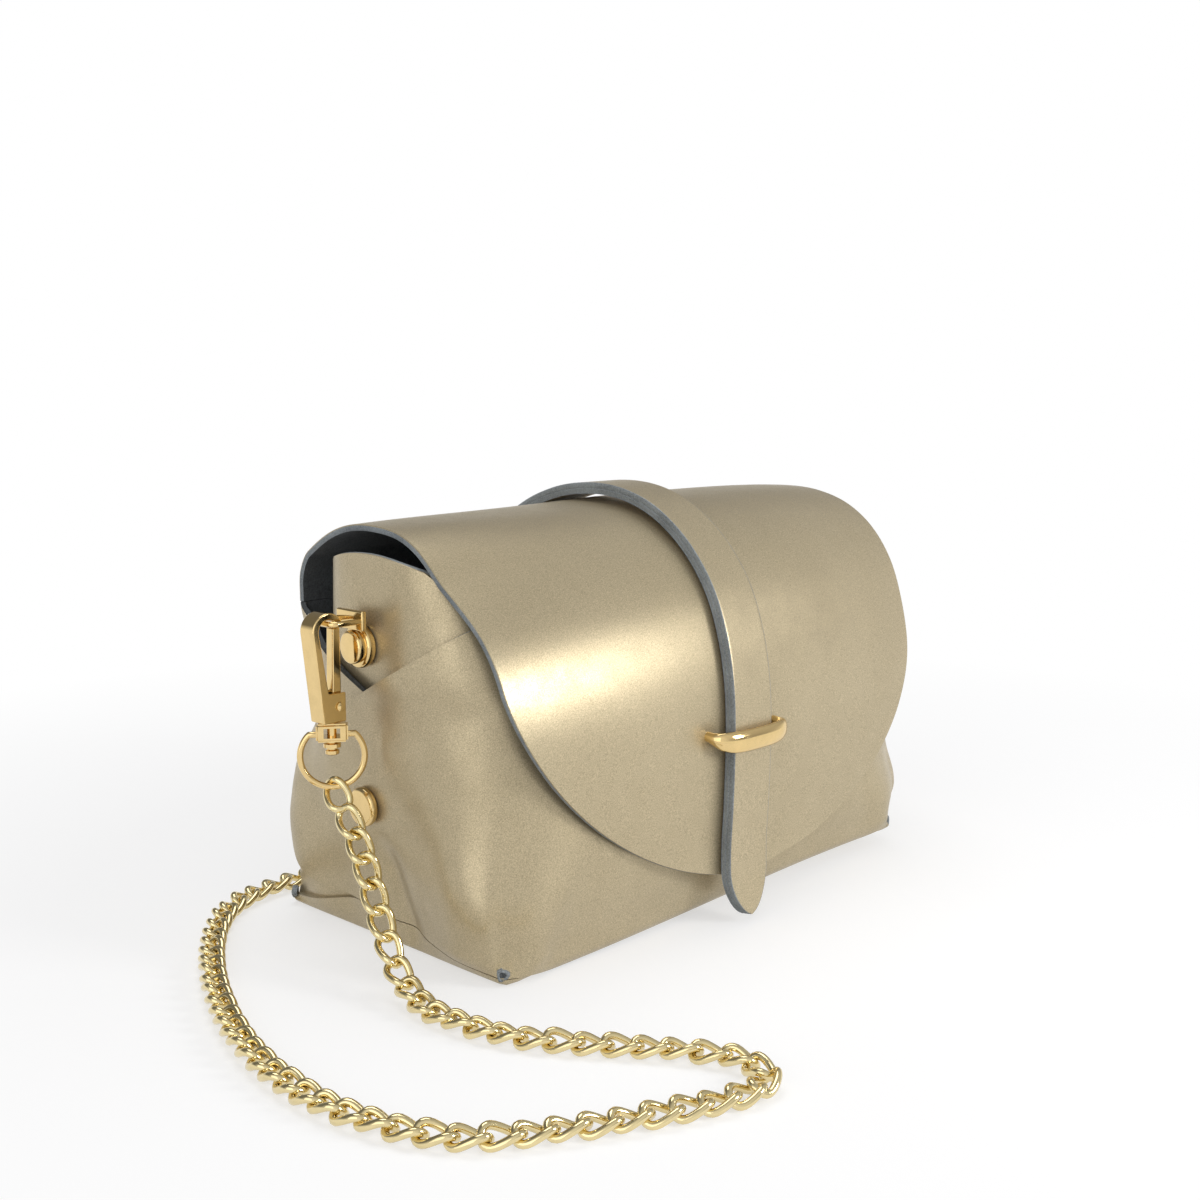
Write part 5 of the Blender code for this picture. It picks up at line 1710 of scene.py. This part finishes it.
def build_strap(context):
    """The strap of two glued plies, from its tail behind to its tip in front."""
    stations = strap_line()
    knots = [item[0] for item in stations]
    route = Walk(smooth_route(knots, 3))
    normal_route = smooth_route([item[1] for item in stations], 3)
    count = 150
    total = route.length
    edge = 0.00035
    thick = STRAP_THICKNESS
    groove = 0.00022
    sides = (
        (0.0, edge * 0.3), (edge * 0.3, edge), (thick * 0.42, 0.0),
        (thick * 0.5, groove), (thick * 0.58, 0.0), (thick - edge, 0.0),
        (thick - edge * 0.3, edge * 0.3), (thick, edge), (thick, edge + 0.0007),
    )
    mesh_data = bmesh.new()
    rings = []
    for step in range(count + 1):
        distance = total * (1 - (1 - step / count) ** 1.15)
        distance = min(distance, total * 0.99999)
        point, along = route.at(distance)
        low = route_index(route, distance)
        share = (distance - route.marks[low]) / (route.marks[low + 1] - route.marks[low])
        normal = normal_route[low].lerp(normal_route[low + 1], share)
        normal = (normal - along * normal.dot(along)).normalized()
        across = along.cross(normal).normalized()
        if across.x < 0:
            across = -across
        wide = max(strap_half(distance, total), 0.0004)
        ring = []
        for sense in (1, -1):
            order = sides if sense > 0 else sides[::-1]
            for rise, inset in order:
                ring.append(
                    mesh_data.verts.new(
                        point + normal * rise + across * sense * max(wide - inset, 0.0001)
                    )
                )
        rings.append(ring)
    size = len(rings[0])
    for ring, next_ring in zip(rings, rings[1:]):
        for index in range(size):
            after = (index + 1) % size
            face = mesh_data.faces.new(
                (ring[index], ring[after], next_ring[after], next_ring[index])
            )
            if abs(index - len(sides) + 1) < 2 or index == size - 1:
                face.material_index = 0
            else:
                face.material_index = 2
    for ring in (rings[0][::-1], rings[-1]):
        face = mesh_data.faces.new(ring)
        face.material_index = 2
    made = add_piece("strap_leather", mesh_data, leather_materials(context), None)
    bend_at_hinge(made)
    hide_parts("strap_tail", "strap_inner_ply", "strap_outer_ply")


def route_index(route, distance):
    """Index of the stretch of a route that holds a distance."""
    low = 0
    high = len(route.marks) - 1
    while high - low > 1:
        middle = (low + high) // 2
        if route.marks[middle] <= distance:
            low = middle
        else:
            high = middle
    return low


# Metal fittings


def build_rivets(context):
    """The rivets of the strap's tail."""
    outside = CLEARANCE + STRAP_THICKNESS + FIT_GAP
    for word, height in RIVET_HEIGHTS:
        centre = (0.0, back_face(height), height)
        cap = 0.0036
        top = 0.0014
        profile = [(cap * math.cos(angle), outside + top * math.sin(angle)) for angle in QUARTER]
        profile = profile[::-1] + [
            (cap, outside - 0.0001),
            (0.0013, outside - 0.0001),
            (0.0013, -LEATHER - CLEARANCE),
            (cap, -LEATHER - CLEARANCE),
            (cap * 0.95, -LEATHER - CLEARANCE - top / 2),
        ]
        mesh_data = bmesh.new()
        turned(mesh_data, profile, centre, back_normal(height))
        node = f"strap_rivet_{word}"
        add_piece(f"{node}_cap", mesh_data, (gold(context),), BAG, (node,))


QUARTER = [math.radians(angle) for angle in range(0, 90, 9)] + [math.radians(88)]


def build_loop(context):
    """The half-round closure loop in front of the strap."""
    place = line_place(LOOP_HEIGHT, False)
    point = line_frame(place)[0]
    face = point.x
    middle = strap_middle(place)
    bar_middle = CLEARANCE + STRAP_THICKNESS + LOOP_STRAP_GAP + LOOP_BAR_DEPTH / 2
    leg_end = -LEATHER - CLEARANCE
    leg_out = LOOP_HALF - LOOP_LEG_RADIUS
    steps = 36
    path = [(-leg_out, leg_end, 0.0)]
    for step in range(steps + 1):
        angle = math.pi * step / steps
        out = -leg_out * math.copysign(abs(math.cos(angle)) ** 0.72, math.cos(angle))
        rise = bar_middle * math.sin(angle) ** 0.62
        path.append((out, rise, min(rise / bar_middle, 1.0)))
    path.append((leg_out, leg_end, 0.0))
    mesh_data = bmesh.new()
    rings = []
    for index, (out, rise, share) in enumerate(path):
        before = path[max(index - 1, 0)]
        after = path[min(index + 1, len(path) - 1)]
        along = Vector((after[0] - before[0], -(after[1] - before[1]))).normalized()
        across = Vector((-along.y, along.x))
        swell = share * share * (3 - 2 * share)
        thin = lerp(LOOP_LEG_RADIUS, LOOP_BAR_DEPTH / 2, swell)
        tall = lerp(LOOP_LEG_RADIUS, LOOP_BAR_HEIGHT / 2, swell)
        ring = []
        for side in range(28):
            angle = math.tau * side / 28
            flat = across * math.cos(angle) * thin
            droop = LOOP_DROOP * max(rise, 0.0) / bar_middle
            height = LOOP_HEIGHT - droop + math.sin(angle) * tall
            ring.append(
                mesh_data.verts.new((middle + out + flat.x, face - rise + flat.y, height))
            )
        rings.append(ring)
    cap_rings(mesh_data, rings)
    add_piece(
        "loop_bar", mesh_data, (gold(context),), FLAP, ("closure_loop",)
    )


def build_studs(context):
    """The studs of both sides, with the rectangular eyes on the upper ones."""
    for word, side in SIDES:
        outer = side_reach(0.0, LOW_STUD_HEIGHT, 0.0)
        inner = -TONGUE_INSET - LEATHER - CLEARANCE
        top = CLEARANCE + LOW_STUD_THICKNESS
        profile = (
            (LOW_STUD_RADIUS * 0.10, top),
            (LOW_STUD_RADIUS * 0.78, top),
            (LOW_STUD_RADIUS * 0.88, top - 0.0001),
            (LOW_STUD_RADIUS * 0.95, top - 0.0004),
            (LOW_STUD_RADIUS, top - 0.0008),
            (LOW_STUD_RADIUS, CLEARANCE + 0.0007),
            (LOW_STUD_RADIUS * 0.96, CLEARANCE + 0.0003),
            (LOW_STUD_RADIUS * 0.88, CLEARANCE),
            (STUD_POST_RADIUS, CLEARANCE),
            (STUD_POST_RADIUS, inner),
        )
        mesh_data = bmesh.new()
        centre = (side * outer, 0.0, LOW_STUD_HEIGHT)
        turned(mesh_data, profile, centre, (side, 0, 0))
        node = f"side_stud_{word}_cap"
        add_piece(f"{node}_round", mesh_data, (gold(context),), BAG, (node,))
        top = CLEARANCE + RING_STUD_THICKNESS
        high = top + RING_STUD_STEP
        profile = (
            (RING_STUD_STEP_RADIUS * 0.1, high),
            (RING_STUD_STEP_RADIUS * 0.82, high),
            (RING_STUD_STEP_RADIUS * 0.94, high - 0.0002),
            (RING_STUD_STEP_RADIUS, high - 0.0006),
            (RING_STUD_STEP_RADIUS, top),
            (RING_STUD_RADIUS * 0.86, top),
            (RING_STUD_RADIUS * 0.96, top - 0.0003),
            (RING_STUD_RADIUS, top - 0.0008),
            (RING_STUD_RADIUS, CLEARANCE + 0.0004),
            (RING_STUD_RADIUS * 0.96, CLEARANCE),
            (STUD_POST_RADIUS, CLEARANCE),
            (STUD_POST_RADIUS, -LEATHER - CLEARANCE),
        )
        mesh_data = bmesh.new()
        centre = (side * STUD_FACE, 0.0, RING_STUD_HEIGHT)
        turned(mesh_data, profile, centre, (side, 0, 0))
        node = f"ring_stud_{word}_base"
        add_piece(f"{node}_round", mesh_data, (gold(context),), BAG, (node,))
        build_eye(context, word, side)


def build_eye(context, word, side):
    """The rectangular ring: a flat band on the stud and a wire that stands outward."""
    band_out = STUD_FACE + CLEARANCE + RING_STUD_THICKNESS + FIT_GAP
    start = band_out + EYE_BAND_THICKNESS / 2
    mesh_data = bmesh.new()
    middle = Vector((side * start, 0.0, EYE_HEIGHT))
    size = (EYE_BAND_THICKNESS, 2 * EYE_BAND_HALF, EYE_BAND_HEIGHT, 1.0)
    matrix = Matrix.Translation(middle) @ Matrix.Diagonal(size)
    bmesh.ops.create_cube(mesh_data, size=1.0, matrix=matrix)
    round_edges(mesh_data, EYE_BAND_EDGE, profile=0.5)
    corner = EYE_WIRE_RADIUS * 2
    outline = [(start, EYE_HALF), (NOSE_OUT - corner, EYE_HALF)]
    for step in range(1, 9):
        angle = math.pi / 2 * step / 8
        out = NOSE_OUT - corner + corner * math.sin(angle)
        outline.append((out, EYE_HALF - corner * (1 - math.cos(angle))))
    outline += [(out, -depth) for out, depth in outline[::-1]]
    points = [Vector((side * out, depth, EYE_HEIGHT)) for out, depth in outline]
    tube(mesh_data, points, EYE_WIRE_RADIUS, WIRE_SIDES, False)
    settle_face_order(mesh_data)
    node = f"ring_stud_{word}_eye"
    add_piece(f"{node}_wire", mesh_data, (gold(context),), BAG, (node,))


def hook_outline():
    """Outline of the hook seen from the side: outer leg, nose, inner face and foot."""
    outer_foot = NOSE_OUT + HOOK_FOOT_OUTER
    inner_foot = NOSE_OUT - HOOK_FOOT_INNER
    outline = [(inner_foot, FOOT_LOW), (outer_foot, FOOT_LOW)]
    steps = 26
    angles = [
        math.radians(lerp(0.0, 180.0 - HOOK_NOSE_END_DEG, step / steps))
        for step in range(steps + 1)
    ]
    for radius, order in (
        (HOOK_NOSE_RADIUS, angles),
        (HOOK_NOSE_RADIUS - HOOK_BAND, angles[::-1]),
    ):
        for angle in order:
            out = NOSE_OUT + radius * math.cos(angle)
            outline.append((out, NOSE_HEIGHT + radius * math.sin(angle)))
    outline.append((outer_foot - HOOK_BAND, FOOT_TOP))
    outline.append((inner_foot, FOOT_TOP))
    return outline


def extruded(mesh_data, outline, side, half_width):
    """Add a plate cut to an outline of outward places and heights."""
    rings = []
    for depth in (-half_width, half_width):
        rings.append([mesh_data.verts.new((side * out, depth, height)) for out, height in outline])
    cap_rings(mesh_data, rings)


def cut_away(piece, mesh_data, name):
    """Cut a closed shape out of a piece and keep the result as its mesh."""
    bmesh.ops.recalc_face_normals(mesh_data, faces=mesh_data.faces)
    mesh = bpy.data.meshes.new(name)
    mesh_data.to_mesh(mesh)
    mesh_data.free()
    cutter = bpy.data.objects.new(name, mesh)
    bpy.context.scene.collection.objects.link(cutter)
    modifier = piece.modifiers.new(name, "BOOLEAN")
    modifier.operation = "DIFFERENCE"
    modifier.solver = "EXACT"
    modifier.object = cutter
    bpy.context.view_layer.update()
    graph = bpy.context.evaluated_depsgraph_get()
    result = bpy.data.meshes.new_from_object(piece.evaluated_get(graph))
    piece.modifiers.remove(modifier)
    old = piece.data
    piece.data = result
    bpy.data.meshes.remove(old)
    bpy.data.objects.remove(cutter, do_unlink=True)


def build_hooks(context):
    """The snap hooks: body, gate and gate pin."""
    for word, side in SIDES:
        mesh_data = bmesh.new()
        extruded(mesh_data, hook_outline(), side, HOOK_HALF_WIDTH)
        node = f"hook_{word}_body"
        body = add_piece(f"{node}_cast", mesh_data, (gold(context),), BAG, (node,))
        slot = bmesh.new()
        half = GATE_HALF_WIDTH + FIT_GAP
        inner = NOSE_OUT - HOOK_FOOT_INNER - HOOK_HALF_WIDTH
        outer = NOSE_OUT + HOOK_FOOT_OUTER - HOOK_SLOT_WALL
        low = Vector((side * inner, -half, FOOT_LOW + HOOK_SLOT_FLOOR))
        high = Vector((side * outer, half, FOOT_TOP + HOOK_HALF_WIDTH))
        size = high - low
        matrix = Matrix.Translation((low + high) / 2) @ Matrix.Diagonal(
            (abs(size.x), size.y, size.z, 1.0)
        )
        bmesh.ops.create_cube(slot, size=1.0, matrix=matrix)
        cut_away(body, slot, f"{node}_slot")
        soften_edges(body, 0.00045, 3, 35.0)
        build_gate(context, word, side)
        build_gate_pin(context, word, side)


def build_gate(context, word, side):
    """The sprung gate."""
    outline = []
    for step in range(17):
        angle = math.radians(lerp(-180.0, 0.0, step / 16))
        outline.append(
            (
                PIVOT_OUT + GATE_FOOT_RADIUS * math.cos(angle),
                PIVOT_HEIGHT + GATE_FOOT_RADIUS * math.sin(angle),
            )
        )
    nose_end = math.radians(HOOK_NOSE_END_DEG)
    top = NOSE_HEIGHT + (HOOK_NOSE_RADIUS - HOOK_BAND) * math.sin(nose_end) - FIT_GAP
    inner = NOSE_OUT - HOOK_NOSE_RADIUS + FIT_GAP
    outline.append((inner + GATE_THICKNESS, top))
    outline.append((inner, top))
    mesh_data = bmesh.new()
    extruded(mesh_data, outline, side, GATE_HALF_WIDTH)
    node = f"hook_{word}_gate"
    made = add_piece(
        f"{node}_bar", mesh_data, (gold(context),), f"gate_{word}", (node,)
    )
    soften_edges(made, 0.00035, 3, 35.0)


def build_gate_pin(context, word, side):
    """The pin on which the gate turns, with its two round heads."""
    face = HOOK_HALF_WIDTH + FIT_GAP
    head = 0.0013
    cap = 0.0004
    profile = (
        (head * 0.1, -face - cap),
        (head * 0.7, -face - cap),
        (head, -face - cap * 0.4),
        (head, -face + 0.0002),
        (0.0007, -face + 0.0002),
        (0.0007, face - 0.0002),
        (head, face - 0.0002),
        (head, face + cap * 0.4),
        (head * 0.7, face + cap),
        (head * 0.1, face + cap),
    )
    mesh_data = bmesh.new()
    turned(mesh_data, profile, (side * PIVOT_OUT, 0.0, PIVOT_HEIGHT), (0, 1, 0), 24)
    node = f"hook_{word}_gate_pin"
    add_piece(f"{node}_head", mesh_data, (gold(context),), BAG, (node,))


def build_swivels(context):
    """The swivel pins, collars and D-rings under the hooks."""
    for word, side in SIDES:
        axis_point = Vector((side * SWIVEL_OUT, 0.0, 0.0))
        top = FOOT_LOW - FIT_GAP / 2
        low = FOOT_LOW - FIT_GAP - SWIVEL_PIN_LENGTH
        profile = (
            (0.0004, low),
            (0.0015, low),
            (0.0019, low + 0.0003),
            (0.0019, low + 0.0012),
            (0.0013, low + 0.0015),
            (0.0013, low + 0.0019),
            (0.0024, low + 0.0021),
            (0.0024, low + 0.0031),
            (0.0013, low + 0.0033),
            (0.0013, top),
        )
        mesh_data = bmesh.new()
        turned(mesh_data, profile, axis_point, (0, 0, 1), 32)
        node = f"swivel_{word}_pin"
        add_piece(f"{node}_turned", mesh_data, (gold(context),), BAG, (node,))
        body = f"swivel_{word}"
        middle = axis_point + Vector((0.0, 0.0, COLLAR_TOP - COLLAR_TALL / 2))
        collar = turned_box(side, middle, (COLLAR_WIDE, COLLAR_DEEP, COLLAR_TALL), COLLAR_EDGE)
        node = f"swivel_{word}_collar"
        made = add_piece(f"{node}_block", collar, (gold(context),), body, (node,))
        window_size = (WINDOW_WIDE, COLLAR_DEEP * 2, COLLAR_TALL - 2 * WINDOW_RIM)
        window = turned_box(side, middle, window_size, 0.0)
        cut_away(made, window, f"{node}_window")
        build_d_ring(context, word, side)


def turned_box(side, middle, size, bevel):
    """A box that lies along a D-ring's plane, with its edges rounded."""
    level = ring_direction(side)
    mesh_data = bmesh.new()
    bmesh.ops.create_cube(mesh_data, size=1.0, matrix=Matrix.Diagonal((*size, 1.0)))
    if bevel:
        round_edges(mesh_data, bevel, profile=0.0)
    turn = Matrix.Rotation(math.atan2(level.y, level.x), 4, "Z")
    bmesh.ops.transform(
        mesh_data, matrix=Matrix.Translation(middle) @ turn, verts=mesh_data.verts
    )
    return mesh_data


def build_d_ring(context, word, side):
    """The ring whose ends turn into the collar's sides."""
    level = ring_direction(side)
    centre = RING_LOW + RING_RADIUS
    shoulder = (COLLAR_LOW + COLLAR_TOP) / 2
    start = COLLAR_RADIUS - 0.0006
    first = math.asin((shoulder - centre) / RING_RADIUS)
    flat = [(start, shoulder), (start + 0.0008, shoulder)]
    steps = 60
    for step in range(steps + 1):
        angle = lerp(first, -math.pi - first, step / steps)
        flat.append((RING_RADIUS * math.cos(angle), centre + RING_RADIUS * math.sin(angle)))
    flat += [(-start - 0.0008, shoulder), (-start, shoulder)]
    axis_point = Vector((side * SWIVEL_OUT, 0.0, 0.0))
    points = [axis_point + level * out + Vector((0, 0, height)) for out, height in flat]
    mesh_data = bmesh.new()
    tube(mesh_data, points, RING_WIRE_RADIUS * 1.17, WIRE_SIDES, False)
    node = f"swivel_{word}_ring"
    add_piece(
        f"{node}_wire", mesh_data, (gold(context),), f"swivel_{word}", (node,)
    )


def finish_small_nodes(context):
    """Plating on the small solids whose shape is already right."""
    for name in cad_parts:
        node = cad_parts[name]
        if "nut" in name or name.endswith("_screw"):
            for slot in node.material_slots:
                slot.material = gold(context)


# Operators and panel


class BAG_OT_stage(bpy.types.Operator):
    """Add the camera, the floor and the lights"""

    bl_idname = "bag.stage"
    bl_label = "Stage"

    def execute(self, context):
        build_stage(context)
        return {"FINISHED"}


class BAG_OT_chain(bpy.types.Operator):
    """Add the chain with its end links"""

    bl_idname = "bag.chain"
    bl_label = "Chain"

    def execute(self, context):
        build_chain(context)
        return {"FINISHED"}


class BAG_OT_panels(bpy.types.Operator):
    """Add the front and back panels and the base"""

    bl_idname = "bag.panels"
    bl_label = "Panels"

    def execute(self, context):
        build_panels(context)
        return {"FINISHED"}


class BAG_OT_tongues(bpy.types.Operator):
    """Add the side tongues"""

    bl_idname = "bag.tongues"
    bl_label = "Side Tongues"

    def execute(self, context):
        build_tongues(context)
        return {"FINISHED"}


class BAG_OT_flap(bpy.types.Operator):
    """Add the flap"""

    bl_idname = "bag.flap"
    bl_label = "Flap"

    def execute(self, context):
        build_flap(context)
        return {"FINISHED"}


class BAG_OT_strap(bpy.types.Operator):
    """Add the closing strap and its rivets"""

    bl_idname = "bag.strap"
    bl_label = "Strap"

    def execute(self, context):
        build_strap(context)
        build_rivets(context)
        return {"FINISHED"}


class BAG_OT_loop(bpy.types.Operator):
    """Add the closure loop"""

    bl_idname = "bag.loop"
    bl_label = "Closure Loop"

    def execute(self, context):
        build_loop(context)
        return {"FINISHED"}


class BAG_OT_studs(bpy.types.Operator):
    """Add the studs and their eyes"""

    bl_idname = "bag.studs"
    bl_label = "Studs"

    def execute(self, context):
        build_studs(context)
        return {"FINISHED"}


class BAG_OT_hooks(bpy.types.Operator):
    """Add the snap hooks"""

    bl_idname = "bag.hooks"
    bl_label = "Snap Hooks"

    def execute(self, context):
        build_hooks(context)
        return {"FINISHED"}


class BAG_OT_swivels(bpy.types.Operator):
    """Add the swivels and D-rings"""

    bl_idname = "bag.swivels"
    bl_label = "Swivels"

    def execute(self, context):
        build_swivels(context)
        finish_small_nodes(context)
        return {"FINISHED"}


OPERATORS = (
    BAG_OT_stage,
    BAG_OT_chain,
    BAG_OT_panels,
    BAG_OT_tongues,
    BAG_OT_flap,
    BAG_OT_strap,
    BAG_OT_loop,
    BAG_OT_studs,
    BAG_OT_hooks,
    BAG_OT_swivels,
)


class BAG_PT_panel(bpy.types.Panel):
    """Buttons and settings of the bag"""

    bl_label = "Leather Bag"
    bl_idname = "BAG_PT_panel"
    bl_space_type = "VIEW_3D"
    bl_region_type = "UI"
    bl_category = "Bag"

    def draw(self, context):
        layout = self.layout
        for group, names in (
            (context.scene.bag_leather, ("pale", "deep", "edge", "suede", "grain")),
            (context.scene.bag_metal, ("gold", "pale_gold", "polish")),
            (context.scene.bag_chain, ("link_length", "wire", "pitch")),
            (context.scene.bag_stage, ("fill", "key", "floor")),
        ):
            box = layout.box()
            for name in names:
                box.prop(group, name)
        for operator in OPERATORS:
            layout.operator(operator.bl_idname)


GROUPS = (
    (BagLeather, "bag_leather"),
    (BagMetal, "bag_metal"),
    (BagChain, "bag_chain"),
    (BagStage, "bag_stage"),
)


def register():
    """Register the settings, the operators and the panel."""
    for group, name in GROUPS:
        bpy.utils.register_class(group)
        setattr(bpy.types.Scene, name, PointerProperty(type=group))
    for item in OPERATORS + (BAG_PT_panel,):
        bpy.utils.register_class(item)


def unregister():
    """Remove the panel, the operators and the settings."""
    for item in (BAG_PT_panel,) + OPERATORS[::-1]:
        bpy.utils.unregister_class(item)
    for group, name in GROUPS[::-1]:
        delattr(bpy.types.Scene, name)
        bpy.utils.unregister_class(group)


def main():
    """Build the bag."""
    register()
    bpy.ops.bag.stage()
    bpy.ops.bag.chain()
    bpy.ops.bag.panels()
    bpy.ops.bag.tongues()
    bpy.ops.bag.flap()
    bpy.ops.bag.strap()
    bpy.ops.bag.loop()
    bpy.ops.bag.studs()
    bpy.ops.bag.hooks()
    bpy.ops.bag.swivels()


if __name__ == "__main__":
    main()
